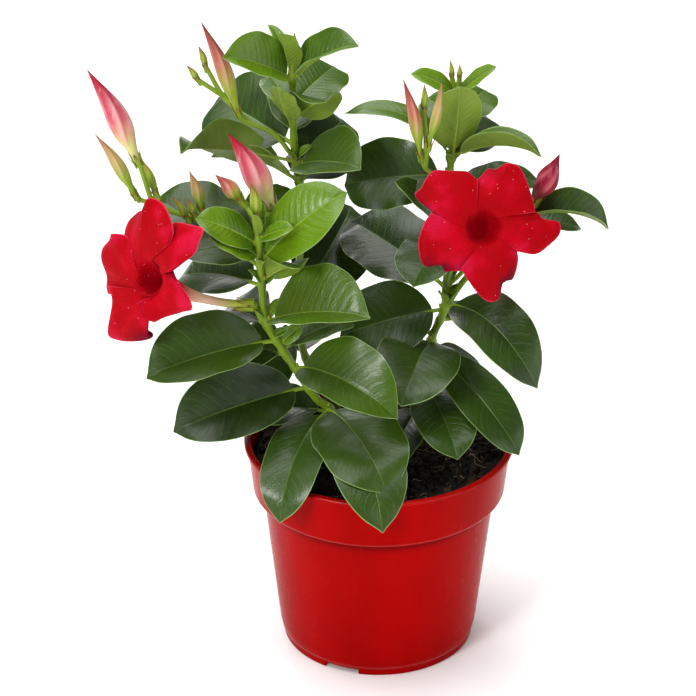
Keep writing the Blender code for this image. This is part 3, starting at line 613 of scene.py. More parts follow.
def lumpShape(detail):
    body = bmesh.new()
    bmesh.ops.create_icosphere(body, subdivisions=detail, radius=1.0)
    points = np.array([v.co[:] for v in body.verts])
    faces = np.array([[v.index for v in f.verts] for f in body.faces])
    body.free()
    return points, faces


def soilSpot(draw, margin):
    radius = (soilForm["edge"] - margin) * math.sqrt(draw.random())
    turn = draw.uniform(0, fullTurn)
    return radius * math.cos(turn), radius * math.sin(turn)


def makeSoil():
    form = soilForm
    draw = random.Random(form["seed"])
    heap = Heap("tone")
    ways = [(math.cos(angle), math.sin(angle)) for angle in circle(form["sides"])]
    rings = [[(radius * c, radius * s, height) for c, s in ways] for radius, height in form["wall"]]
    for radius in form["edge"] * np.linspace(1, 0.01, form["rings"]):
        rings.append([(radius * c, radius * s, soilHeight(radius * c, radius * s)) for c, s in ways])
    addRings(heap, np.array(rings), 0)
    for count, detail, sizes in form["lumps"]:
        shape, faces = lumpShape(detail)
        for _ in range(count):
            x, y = soilSpot(draw, form["lumpMargin"])
            size = draw.uniform(*sizes) * draw.uniform(0.6, 1.0)
            shift = Vector((x, y, size))
            knobs = np.array([1 + form["knobs"] * noise.noise(Vector(p) * 1.6 + shift) for p in shape])
            stretch = np.array([draw.uniform(*form["lumpStretch"]) for _ in range(3)])
            turn, axis = draw.uniform(0, 6.3), Vector((draw.random(), 1, draw.random()))
            lump = (shape * knobs[:, None] * stretch * size) @ np.array(Matrix.Rotation(turn, 3, axis)).T
            heap.add(lump + (x, y, soilHeight(x, y) + size * 0.25), [faces], 0, tone=draw.uniform(-0.4, 0.9))
    for _ in range(form["fibres"]):
        x, y = soilSpot(draw, form["fibreMargin"])
        way, length = draw.uniform(0, fullTurn), draw.uniform(*form["fibreLength"])
        bend = draw.uniform(-form["fibreBend"], form["fibreBend"])
        path = []
        for share in np.linspace(-0.5, 0.5, len(form["fibreTaper"])):
            turn = way + bend * share
            px, py = x + math.cos(turn) * length * share, y + math.sin(turn) * length * share
            path.append((px, py, soilHeight(px, py) + form["fibreLift"] + draw.uniform(-0.2, 0.5)))
        thick = draw.uniform(*form["fibreRadius"])
        rings = ringsAlong(path, [thick * w for w in form["fibreTaper"]], form["fibreSides"])
        addRings(heap, rings, 1, tone=draw.random())
    settle(heap.build("pottingPeat", peatFinishes, 60), "soil")


# Leaves

Leaf = namedtuple("Leaf", "height heading rise length width roll arch fold young twist",
                  defaults=(0, 0.08, 0.30, 0, 0))
leafForm = {
    "petioleShare": 0.11, "petioleRadius": 0.95, "petioleReach": 0.10, "petioleRows": 12, "petioleSides": 10,
    "petioleOutline": ((0, 1.25), (0.25, 0.95), (0.6, 0.95), (1, 0.4)),
    "rows": 50, "columns": 21, "sprigMesh": (20, 9),
    "crowding": 1.45,  # above 1 the columns stand closer along the midrib
    "thick": 0.62, "rimThick": 0.3, "oldQuilt": 0.10, "youngQuilt": 0.42, "quiltPower": 0.7,
    "droop": 0.14, "tipDrop": 0.03, "wave": 0.028, "waves": (1.6, 3.0), "waveReach": (0.5, 1.2),
    "groove": 0.3, "grooveWidth": 0.7, "ribDepth": 0.75, "ribWidth": 0.75, "seed": 5,
    "outline": ((0.0, 0.12), (0.03, 0.34), (0.08, 0.55), (0.14, 0.70), (0.24, 0.87), (0.36, 0.97),
                (0.5, 1.0), (0.62, 0.985), (0.74, 0.90), (0.83, 0.76), (0.90, 0.57), (0.945, 0.36),
                (0.975, 0.15), (1.0, 0.02)),
}

# One row for each leaf, in the order of Leaf's fields. What a row leaves out at its end has the usual value.
leftLeaves = (
    (154, 199, -8, 58, 31, 33, 0.08, 0.82, 0.05), (129, 201, -9, 62, 32, 42, 0.08, 0.7),
    (115, 160, -12, 50, 26, 20), (146, 138, -12, 34, 26, 35), (164, 331, 16, 52, 34, -25, 0.08, 0.85, 0.35),
    (149, 27, 9, 35, 20, 0, 0.08, 0.3, 0.3), (140, 322, -6, 56, 31, -27, 0.17, 0.8, 0.2),
    (117, 298, -14, 57, 39, -8, 0.15, 0.14, 0.05), (116, 247, -27, 60, 27, -2, 0.18, 0.25),
    (102, 287, -10, 65, 33, 0, 0.245, 0.18, 0.05), (193, 351, 44, 50, 28, -45, 0.08, 0.3, 0.7),
    (201, 198, 32, 31, 17, 40, 0.08, 0.3, 0.85), (195, 209, 35, 28, 15, 40, 0.08, 0.3, 0.9),
    (204, 318, 30, 22, 9, -40, 0.05, 0.3, 1), (184, 316, 32, 27, 18, 62, 0.19, 0.3, 0.8, -72),
    (182, 137, -14, 54, 31, 24, 0.08, 0.3, 0.35), (191, 144, 16, 60, 36, 30, 0.08, 0.3, 0.05),
    (188, 82, 30, 48, 24, 0, 0.05, 0.3, 0.2), (162, 118, -18, 50, 30, 20, 0.1, 0.3, 0.1),
)
middleLeaves = (
    (263, 211, 27, 36, 22, 42, 0.08, 0.8, 0.55), (263, 335, 34, 36, 19, -25, 0.1, 0.75, 0.6),
    (266, 125, 44, 24, 6, 0, 0.1, 0.5, 0.6), (265, 226, 72, 22, 11, 0, 0.03, 0.8, 0.95),
    (249, 118, 18, 24, 15, 10, 0.08, 0.3, 0.25), (245, 312, 34, 25, 24, 65, 0.18, 0.3, 0.55, -75),
    (251, 60, 9, 37, 24, -20, 0.06, 0.3, 0.2), (236, 94, 9, 42, 22, -10, 0.06, 0.3, 0.15),
    (224, 212, 18, 58, 21, -95, 0.22, 0.9, 0.2, 80), (215, 162, 10, 40, 26, -40, 0.1, 0.3, 0.35),
    (222, 314, 16, 40, 30, -25, 0.08, 0.6, 0.15), (222, 60, 10, 42, 28, -32, 0.06),
    (214, 72, -14, 50, 30, -10, 0.06), (232, 128, 4, 58, 38, 40, 0.06),
    (155, 64, 25, 60, 38, -35, 0.08, 0.3, 0.05), (127, 106, -15, 52, 36, 0, 0.1),
    (141, 212, -38, 52, 30, 28, 0.06), (182, 108, 2, 52, 30, 0, 0.1, 0.3, 0.05),
    (243, 240, 62, 22, 15, 10, -0.05, 0.3, 0.6),
)
rightLeaves = (
    (167, 134, 12, 62, 36, 25, 0.06), (189, 240, -15, 33, 28, 0, 0.12), (193, 205, 48, 38, 15, 35, 0.04),
    (219, 170, -10, 47, 32, 50, 0.08, 0.55), (157, 187, -13, 47, 34, 42, 0.1),
    (142, 253, -9, 48, 36, 10, 0.14), (121, 288, -17, 46, 27, -5, 0.1), (138, 317, -32, 62, 23, -20, 0.1),
    (142, 34, -50, 50, 13, -50), (159, 315, -20, 58, 27, -22, 0.29, 0.45),
    (152, 50, -26, 50, 28, -10, 0.06), (111, 245, -20, 42, 21, 0, 0.1),
    (228, 284, 76, 36, 22, 0, -0.06, 0.3, 0.65), (227, 337, 11, 41, 9, 8, 0.13, 1.6, 0.35),
    (255, 194, 31, 23, 9, 40, 0.1, 0.4, 0.8), (255, 336, 43, 23, 8, -40, 0.03, 0.4, 0.8),
    (243, 60, 12, 28, 20, -20, 0.06, 0.3, 0.3), (229, 62, 10, 34, 26, -30, 0.06, 0.3, 0.15),
    (242, 118, 9, 25, 16, 30, 0.06, 0.3, 0.4), (227, 174, 23, 49, 12, 15, 0.22, 0.3, 0.3),
    (190, 68, 0, 50, 30, 0, 0.1), (208, 18, 4, 42, 24, -10, 0.1, 0.3, 0.1),
)
# Short young leaves that stand in the joints of the stems.
leftSprigs = (
    (149, 75, 52, 11, 5, -30, 0.1, 0.5, 0.9), (151, 12, 40, 13, 7, -50, 0.14, 0.4, 0.85),
    (156, 330, 34, 9, 4, -60, 0.1, 0.5, 1), (163, 30, 58, 12, 4, -40, 0.12, 0.5, 1),
    (165, 214, 50, 9, 4, 40, 0.1, 0.5, 1), (181, 20, 48, 13, 5, -40, 0.1, 0.5, 0.95),
    (182, 205, 55, 10, 4, 40, 0.1, 0.5, 0.95), (205, 250, 66, 15, 5, 30, 0.06, 0.6, 1),
    (206, 60, 74, 14, 4, -30, 0.06, 0.6, 1), (190, 284, 42, 10, 4, 0, 0.1, 0.6, 0.95),
)
middleSprigs = (
    (224, 232, 52, 9, 4, 20, 0.1, 0.5, 0.9), (225, 352, 44, 10, 4, -40, 0.1, 0.5, 0.9),
    (243, 250, 60, 8, 3, 20, 0.1, 0.5, 0.95), (214, 300, 40, 8, 4, 0, 0.1, 0.5, 0.85),
)
rightSprigs = (
    (164, 332, 74, 26, 5, -40, 0.05, 0.6, 0.85), (166, 20, 70, 24, 5, -50, 0.06, 0.6, 0.8),
    (158, 250, 55, 13, 5, 20, 0.1, 0.5, 0.8), (157, 350, 60, 15, 5, -40, 0.1, 0.5, 0.85),
    (143, 215, 50, 9, 4, 20, 0.1, 0.5, 0.75), (224, 250, 50, 9, 4, 20, 0.1, 0.5, 0.9),
    (225, 12, 48, 10, 4, -40, 0.1, 0.5, 0.9),
)
branchLeaves = (
    (204, 0, -8, 38, 15, -18, 0.16, 1.14, 0.1), (199, 12, -6, 31, 16, -10), (190, 62, -10, 46, 28, 0, 0.1),
)


def addLeaf(heap, foot, leaf, draw, rows=leafForm["rows"], columns=leafForm["columns"]):
    form = leafForm
    heading, rise = math.radians(leaf.heading), math.radians(leaf.rise)
    east, north, level, climb = math.cos(heading), math.sin(heading), math.cos(rise), math.sin(rise)
    ahead = np.array((level * east, level * north, climb))
    flatUp = np.array((-climb * east, -climb * north, level))
    sideways = np.cross(ahead, flatUp)

    def upAt(share):
        turn = np.radians(leaf.roll + leaf.twist * share)[..., None]
        return flatUp * np.cos(turn) - sideways * np.sin(turn)

    rootUp = upAt(0.0)

    def midrib(share):
        share = share[..., None]
        return foot + (ahead * share + rootUp * leaf.arch * 4 * share * (1 - share)) * leaf.length

    t = np.linspace(0, 1, rows)[:, None]
    s = np.linspace(-1, 1, columns)
    k = np.sign(s) * np.abs(s) ** form["crowding"]
    aside = np.abs(k)
    half = throughPoints(form["outline"], t) * leaf.width / 2
    up = upAt(t)
    middle = midrib(form["petioleShare"] + (1 - form["petioleShare"]) * t)
    ends = np.sin(np.pi * t) ** 0.5
    veinPlace = (t - veinLook["lean"] * aside - veinLook["sweep"] * aside ** 3) * veinLook["count"]
    puff = (0.5 - 0.5 * np.cos(fullTurn * veinPlace)) ** form["quiltPower"]
    quilt = form["oldQuilt"] + (form["youngQuilt"] - form["oldQuilt"]) * leaf.young
    phase, waves = draw.random(), draw.uniform(*form["waves"])
    wave = form["wave"] * leaf.width * draw.uniform(*form["waveReach"])
    lift = half * (leaf.fold * (np.sqrt(aside ** 2 + 0.003) - 0.055) - form["droop"] * aside ** 2)
    lift = lift + quilt * puff * (1 - aside ** 4) * smoothStep(0.0, 0.16, aside) * ends
    lift = lift - form["groove"] * np.exp(-(k * half / form["grooveWidth"]) ** 2) * (1 - t)
    lift = lift + wave * aside ** 3 * ends * np.sin(fullTurn * (t * waves + phase + 0.2 * np.sign(k)))
    lift = lift - form["tipDrop"] * leaf.length * smoothStep(0.8, 1.0, t) ** 2
    top = middle + np.cross(up, ahead) * (k * half)[..., None] + up * lift[..., None]
    ridge = form["ribDepth"] * np.exp(-(k * half / form["ribWidth"]) ** 2) * (1 - 0.8 * t)
    thick = form["thick"] + (form["rimThick"] - form["thick"]) * aside ** 3 + ridge
    thick = thick * (0.4 + 0.6 * np.minimum(1, half / 2))
    addSheet(heap, top, top - up * thick[..., None], (0, 1, 2), along=t, across=k, fromRib=aside * half,
             toRim=(1 - aside) * half, young=leaf.young, tone=draw.random() * 0.5 + 0.25)
    share = np.linspace(0.0, form["petioleShare"] + form["petioleReach"], form["petioleRows"])
    size = (leaf.width / 30) ** 0.5
    path = midrib(share) - rootUp * (0.75 * form["petioleRadius"] * size)
    radii = throughPoints(form["petioleOutline"], np.linspace(0, 1, len(share)))
    radii = form["petioleRadius"] * size * radii
    addTube(heap, path, radii, form["petioleSides"], 3, along=np.linspace(0.2, 1, len(share)))


def pointAtHeight(route, height):
    for low, high in zip(route, route[1:]):
        if low[2] <= height <= high[2]:
            return low + (high - low) * (height - low[2]) / (high[2] - low[2])
    return route[-1]


# Stems, stalks, cups and buds

Bud = namedtuple("Bud", "stalk foot tip width node look", defaults=("", "green"))
Flower = namedtuple("Flower", "stalk foot throat facing sag")

stemForm = {
    "footRadius": 1.9, "shootRadius": 1.4, "depth": 15.0, "sides": 14, "steps": 12, "knot": 0.22,
    "stalkRadius": 1.4 * 0.75, "stalkSides": 10, "axilBud": 2.6, "axilOut": 0.8, "axilWidth": 1.5,
    "tipTaper": 0.35, "tipRings": 6, "calyxLength": 4.0, "calyxSides": 16, "flowerCup": 2.2,
    "sepals": 5, "sepalLength": 8.5, "sepalWidth": 2.7, "sepalDrop": 2.4, "sepalRows": 9, "sepalColumns": 5,
}
barkAt, stalkAt, sepalAt, budAt = range(4)  # places of the finishes in a piece of stems and stalks
budForm = {
    "mesh": (60, 54), "smallMesh": (25, 20), "axilMesh": (10, 8),  # sides and rows
    "turn": 1.6, "petals": 5, "overlap": 0.13, "sway": 0.03, "gap": 0.3,
    "outline": ((0, 0.34), (0.07, 0.38), (0.16, 0.57), (0.27, 0.87), (0.38, 1.0), (0.5, 0.95), (0.62, 0.77),
                (0.74, 0.52), (0.86, 0.28), (0.95, 0.12), (1.0, 0.03)),
}

# The stems and stalks by the points on them, and one row for each bud, in the order of Bud's fields.
leftStem = (
    (-15, -5, 91), (-21, -8, 114), (-28, -10, 123), (-37, -14, 140), (-42, -15, 149),
    (-49, -18, 164), (-50, -20, 181), (-51, -22, 200), (-51, -22, 207),
)
middleStem = (
    (-14, 24, 91), (-30, 21, 120), (-35, 20, 140), (-35, 18, 171), (-34, 16, 205),
    (-36, 14, 224), (-37, 12, 243), (-37, 10, 263), (-37, 9, 268),
)
rightStem = (
    (18, 5, 91), (20, 6, 121), (23, 8, 142), (28, 8, 156), (29, 9, 167),
    (30, 11, 193), (30, 12, 224), (32, 12, 244), (32, 12, 257),
)
rightBranch = ((28, 8, 156), (36, 6, 171), (48, 4, 187), (61, 2, 205))

leftStalks = (
    ((-51, -21, 195), (-58, -12, 202), (-70, -6, 205), (-85, -5, 208), (-96, -8, 214)),
    ((-51, -22, 200), (-52, -20, 206), (-53, -17, 212)),
)
leftBuds = (
    (((-96, -8, 214), (-98, -10, 223)), (-101, -14, 236), (-119, -24, 280), 9.4, "bud_pink_left", "pink"),
    (((-96, -8, 214),), (-103, -10, 219), (-118, -16, 249), 5.5, "bud_pale_left", "tan"),
    (((-70, -6, 205),), (-75, -8, 211), (-80, -10, 230), 5.0, "bud_tan_left", "tan"),
    (((-53, -17, 212),), (-58, -13, 217), (-69, -12, 229), 6.8, "bud_salmon_left", "salmon"),
    (((-53, -17, 212),), (-45, -12, 214), (-63, -16, 249), 11.2, "bud_pink_middle", "pink"),
    (((-96, -8, 214),), (-94, -7, 217), (-101, -4, 234), 4.0),
    (((-78, -6, 206),), (-81, -11, 208), (-87, -14, 220), 3.2),
    (((-74, -6, 205),), (-78, -10, 209), (-81, -12, 218), 3.6),
    (((-52, -20, 206),), (-51, -24, 214), (-54, -24, 231), 5.0),
)
middleStalks = (((-37, 14, 226), (-45, 15, 236), (-57, 10, 244)),)
middleBuds = (
    (((-57, 10, 244),), (-60, 8, 249), (-74, 0, 292), 6.8, "bud_salmon_top", "salmon"),
    (((-55, 11, 243), (-66, 13, 254)), (-73, 12, 267), (-76, 10, 278), 3.0),
    (((-66, 13, 254),), (-76, 10, 262), (-81, 8, 270), 3.0),
    (((-37, 9, 266),), (-36, 9, 275), (-36, 10, 284), 2.2),
)
rightStalks = (((30, 12, 214), (24, 6, 220), (19, 2, 226)),)
rightBuds = (
    (((19, 2, 226),), (17, 1, 232), (9, -5, 269), 5.6, "bud_salmon_right", "salmon"),
    (((19, 2, 226),), (20, -2, 238), (25, -8, 269), 4.2, "bud_tan_right", "tan"),
    (((61, 2, 205),), (66, 2, 211), (75, -2, 234), 9.4, "bud_crimson_right", "crimson"),
    (((19, 3, 227), (19, 4, 240)), (18, 3, 251), (18, 2, 264), 3.2),
    (((32, 12, 255),), (30, 12, 262), (29, 12, 271), 2.2),
    (((32, 12, 255),), (33, 12, 262), (33, 12, 269), 2.2),
)
leftFlower = Flower(((-50, -18, 163),), (-56, -21, 173), (-96, -38, 194), (-0.68, -0.68, 0.22), 14)
rightFlower = Flower(((29, 9, 167), (36, 12, 173)), (40, 11, 182), (43, -22, 209), (0.05, -0.93, 0.36), 0)


def budRadius(width, share):
    return width / 2 * throughPoints(budForm["outline"], share)


def addBud(heap, bud, sides, rows, finish, gap=0.0):  # petals rolled up, each edge over the next
    form = budForm
    foot, tip = np.array(bud.foot, float), np.array(bud.tip, float)
    way = unit(tip - foot)
    side, other = crossWays(way)
    foot = foot + way * gap
    share = np.linspace(0, 1, rows)[:, None]
    angles = circle(sides) + share * form["turn"]
    seam = (np.arange(sides) * form["petals"] / sides) % 1.0
    rise = form["overlap"] * (seam - 0.5) * smoothStep(0.08, 0.35, share)
    reach = budRadius(bud.width, share) * (1 + rise)
    sway = form["sway"] * np.linalg.norm(tip - foot) * np.sin(np.pi * share)
    middle = foot + (tip - foot) * share[..., None]
    rings = spread(middle, side, other, np.cos(angles) * reach + sway, np.sin(angles) * reach)
    addRings(heap, rings, finish, along=share, across=seam)


def addAxilBud(wood, spot, leaf, draw):
    form = stemForm
    heading = math.radians(leaf.heading)
    out = np.array((math.cos(heading), math.sin(heading), 0.0))
    start = spot + out * form["shootRadius"] + (0, 0, 0.8)
    end = start + out * form["axilOut"] + (0, 0, form["axilBud"] * draw.uniform(0.7, 1.2))
    addBud(wood, Bud((), start, end, form["axilWidth"]), *budForm["axilMesh"], budAt)


def addSepals(wood, foot, way, radius, growth, draw):  # small green tongues round the foot of a bloom
    form = stemForm
    side, other = crossWays(way)
    size = min(1.0, 0.45 + radius / 4)
    t = np.linspace(0, 1, form["sepalRows"])[:, None]
    c = np.linspace(-1, 1, form["sepalColumns"])
    for k in range(form["sepals"]):
        height = form["sepalLength"] * size * draw.uniform(0.8, 1.1) * t - form["sepalDrop"]
        out = radius + 0.3 + growth * np.maximum(0, height) + 0.35 * t ** 3
        halfAngle = form["sepalWidth"] * size / 2 / (radius + 0.4) * (1 - t ** 1.6) * (0.75 + 0.6 * t)
        angle = fullTurn * k / form["sepals"] + 0.4 + c * np.minimum(halfAngle, 0.62)
        top, low = (spread(foot, side, other, np.cos(angle) * reach, np.sin(angle) * reach)
                    + way * height[..., None] for reach in (out + 0.35 * (1 - 0.7 * t), out - 0.1))
        addSheet(wood, top, low, sepalAt, along=t)


def knotted(route, radii, leaves):  # the stem swells where its leaves stand
    form = stemForm
    for leaf in leaves:
        away = (route[:, 2] - leaf.height + 0.6) / 1.5
        radii = radii * (1 + form["knot"] * np.exp(-away ** 2))
    return np.minimum(radii, form["footRadius"] * 1.3)


def tubeBend(flower):
    mouth = np.array(flower.throat, float)
    reach = np.linalg.norm(mouth - flower.foot) * 0.5
    return mouth - unit(flower.facing) * reach - (0, 0, flower.sag)


def addStalk(wood, points):
    route = smoothRoute(points, 8)
    addTube(wood, route, [stemForm["stalkRadius"]] * len(route), stemForm["stalkSides"], stalkAt)


def addCup(wood, stalk, foot, way, radius, growth, draw):  # a stalk's end, which holds a bloom
    form = stemForm
    thin = form["stalkRadius"]
    wide = max(thin, radius)
    share = np.linspace(-1, 0, 9)
    outline = ((-1, thin * 0.9), (-0.5, wide * 0.95), (0, wide * 1.06))
    addTube(wood, foot + np.outer(share, way) * form["calyxLength"], throughPoints(outline, share),
            form["calyxSides"], sepalAt)
    addSepals(wood, foot, way, wide, growth, draw)
    addStalk(wood, (*stalk, foot - way * form["calyxLength"] * 0.6))


def makeLeafyStem(side, points, leaves, sprigs, stalks, buds, flowers=(), branch=(), sideLeaves=()):
    form = stemForm
    draw = random.Random(leafForm["seed"] + len(leaves))
    leaves, sprigs, sideLeaves = ([Leaf(*row) for row in rows] for rows in (leaves, sprigs, sideLeaves))
    buds = [Bud(*row) for row in buds]
    foliage = Heap("along", "across", "fromRib", "toRim", "young", "tone")
    wood = Heap("along", "across")
    coarse = smoothRoute(points, 2)
    route = smoothRoute(points, form["steps"])
    foot = route[0]
    buried = [foot - (0, 0, form["depth"]), foot - (0, 0, 4), foot + (0, 0, 2)]
    route = np.vstack((buried, route[route[:, 2] > foot[2] + 6]))
    share = np.clip((route[:, 2] - foot[2]) / (route[-1, 2] - foot[2]), 0, 1)
    radii = knotted(route, form["footRadius"] + (form["shootRadius"] - form["footRadius"]) * share, leaves)
    radii[-form["tipRings"]:] *= np.linspace(1, form["tipTaper"], form["tipRings"])
    addTube(wood, route, radii, form["sides"], barkAt, along=share)
    groups = [(coarse, leaves)]
    if branch:
        sideRoute = smoothRoute(branch, form["steps"])
        sideRadii = knotted(sideRoute, form["shootRadius"], sideLeaves)
        addTube(wood, sideRoute, sideRadii, form["sides"], barkAt, along=np.linspace(0.4, 1, len(sideRoute)))
        groups.append((smoothRoute(branch, 2), sideLeaves))
    for path, group in groups:
        for leaf in group:
            spot = pointAtHeight(path, leaf.height)
            addLeaf(foliage, spot, leaf, draw)
            addAxilBud(wood, spot, leaf, draw)
    for leaf in sprigs:
        addLeaf(foliage, pointAtHeight(coarse, leaf.height), leaf, draw, *leafForm["sprigMesh"])
    for stalk in stalks:
        addStalk(wood, stalk)
    for bud in buds:
        spot = np.array(bud.foot, float)
        span = bud.tip - spot
        way = unit(span)
        if bud.node:
            low, high = budRadius(bud.width, np.array((0, 0.3)))
            addCup(wood, bud.stalk, spot, way, low, (high - low) / (0.3 * np.linalg.norm(span)), draw)
        else:
            addBud(wood, bud, *budForm["smallMesh"], budAt)
            addSepals(wood, spot + way * 0.8, way, bud.width * 0.2, 0.12, draw)
            addStalk(wood, (*bud.stalk, spot + way))
    for flower in flowers:
        spot = np.array(flower.foot, float)
        addCup(wood, flower.stalk, spot, unit(tubeBend(flower) - spot), form["flowerCup"], 0.05, draw)
    settle(foliage.build("leaves_" + side, [*leafFinishes, stalkSkin]), "stem_" + side)
    settle(wood.build("stalks_" + side, [stemBark, stalkSkin, sepalSkin, budSkins["green"]]), "stem_" + side)
    for bud in buds:
        if bud.node:
            heap = Heap("along", "across")
            addBud(heap, bud, *budForm["mesh"], 0, budForm["gap"])
            settle(heap.build("rolled_" + bud.node, [budSkins[bud.look]], 65), bud.node)


# Open flowers

# Each lobe's outer edge, from the side that lies under its neighbour to the side that lies over the next one:
# angle and distance from the middle of the throat in the flower's own plane, and height above that plane.
rightLobes = (
    ((171, 17, -3), (163, 22.8, -3), (154, 31.6, -4), (146, 31, -4), (140, 31.6, -4), (130, 31.8, -4),
     (120, 28, -4), (106, 24.9, -3), (101, 22.4, -2), (96, 20.4, -1)),
    ((102, 15, -4), (99, 19, -5), (89, 22.6, -5), (82, 26, -5), (75, 26.6, -5), (70, 28.6, -4),
     (64, 29.5, -4), (57, 29.4, -3), (50, 27.6, -3), (38, 25, -2), (25, 23.4, -1), (16, 22.6, 0)),
    ((23, 18, -3), (15, 23.5, -4), (8, 25.2, -5), (5, 28.8, -5), (3.5, 31.8, -4), (-1, 32.7, -4),
     (-7, 31.8, -3), (-15, 29, -3), (-25, 25.8, -2), (-31, 22.3, -2), (-36, 17.5, -1)),
    ((-28, 13.5, -4), (-37, 17.8, -4), (-48, 21.4, -5), (-60, 25.1, -5), (-67, 27.0, -5), (-73, 27.2, -5),
     (-78, 30.5, -4), (-83, 31.4, -4), (-89, 30.4, -4), (-97, 26.9, -3), (-105, 23.5, -2), (-113, 21.1, -1),
     (-121, 19.2, 0)),
    ((-108, 16, -4), (-117, 19.8, -4), (-126, 22, -4), (-133, 25, -4), (-139, 25.6, -5), (-146, 29, -4),
     (-154, 29.4, -4), (-167, 28.2, -3), (-176, 26.6, -2), (-188, 24.6, -1), (-198, 23, 0)),
)
leftLobes = (
    ((164, 24.3, -5), (153, 27.1, -6), (143, 28.6, -6), (127, 28.7, -4), (113, 30.1, -2), (106, 32.7, -1),
     (97, 32.5, -1), (84, 31.0, 0), (75, 28.3, 0), (66, 24.6, 1), (63, 18.9, 1)),
    ((81, 19.5, -5), (84, 23.7, -6), (73, 26.9, -6), (61, 30.4, -6), (51, 34.8, -5), (44, 32.0, -3),
     (38, 28.7, -1), (33, 23.3, 2), (28, 17.8, 3), (27, 13.0, 4)),
    ((31, 12.4, -2), (17, 15.1, -1), (2, 20.3, 0), (-9, 28.2, 1), (-19, 23.9, 1), (-45, 18.7, 2),
     (-65, 19.8, 3), (-77, 19.2, 4), (-89, 15.9, 5), (-96, 11.4, 5)),
    ((-101, 20.2, -3), (-99, 25.1, -3), (-87, 28.6, -3), (-98, 30.3, -2), (-110, 34.4, -1), (-117, 37.2, 0),
     (-122, 37.7, 1), (-129, 31.6, 1), (-142, 26.7, 1), (-155, 26.5, 1)),
    ((-148, 29.9, -2), (-154, 30.7, -2), (-163, 30.5, -2), (-175, 31.6, -1), (-187, 32.7, 0),
     (-193, 32.9, 0), (-200, 29.9, 0), (-208, 25.4, 0), (-214, 21.3, 0), (-215, 15.8, 0)),
)
flowerForm = {
    "throat": 7.4, "funnelRows": 13, "rows": 32, "columns": 45, "thick": 0.5, "rootMargin": 7.0, "tilt": 0.22,
    "outside": ((0.0, 2.0), (0.3, 1.85), (0.5, 2.3), (0.7, 3.9), (0.85, 6.0), (1.0, 8.3)),
    "inside": ((0.55, 2.0), (0.62, 2.7), (0.75, 4.0), (0.88, 5.6), (1.0, 7.4)),
    "tubeRows": 40, "tubeSides": 50, "tubeThick": 0.5, "innerFrom": 6, "mouthDepth": 1.6, "seed": 3,
    "bulge": 1.3, "ripple": 0.55, "rimDrop": 0.9,        # mm of rise and fall over a lobe
    "sink": {"flower_right": 0.6, "flower_left": 0.85},  # how much of the lobes' drop below the mouth is kept
    # lobe, place along its edge, width of the curl, how far it rolls back in mm, how dark its painted shade
    # is
    "curls": {
        "flower_right": ((3, 0.40, 0.05, 2.2, 1.0), (4, 0.36, 0.07, 2.2, 0.8), (0, 0.18, 0.08, 1.6, 0.4),
                         (1, 0.33, 0.05, 1.4, 0.2), (2, 0.93, 0.06, -1.2, 0.0)),
        "flower_left": ((3, 0.18, 0.08, 2.0, 0.8), (2, 0.85, 0.12, 2.2, 0.15), (1, 0.9, 0.1, 1.6, 0.1),
                        (4, 0.55, 0.08, 1.6, 0.2), (0, 0.4, 0.05, 1.2, 0.2)),
    },
    "roots": {  # where each lobe begins round the throat, in degrees
        "flower_right": (192, 120, 48, -26, -100, -168),
        "flower_left": (188, 100, 36, -44, -110, -172),
    },
}


def alongEdge(points, count):  # places at even steps along a smooth line through a lobe's outline
    spots = [(r * math.cos(math.radians(a)), r * math.sin(math.radians(a)), z) for a, r, z in points]
    fine = smoothRoute(spots, 12)
    length = np.concatenate(([0], np.cumsum(np.linalg.norm(np.diff(fine, axis=0), axis=1))))
    places = np.linspace(0, length[-1], count)
    return np.stack([np.interp(places, length, column) for column in fine.T], -1)


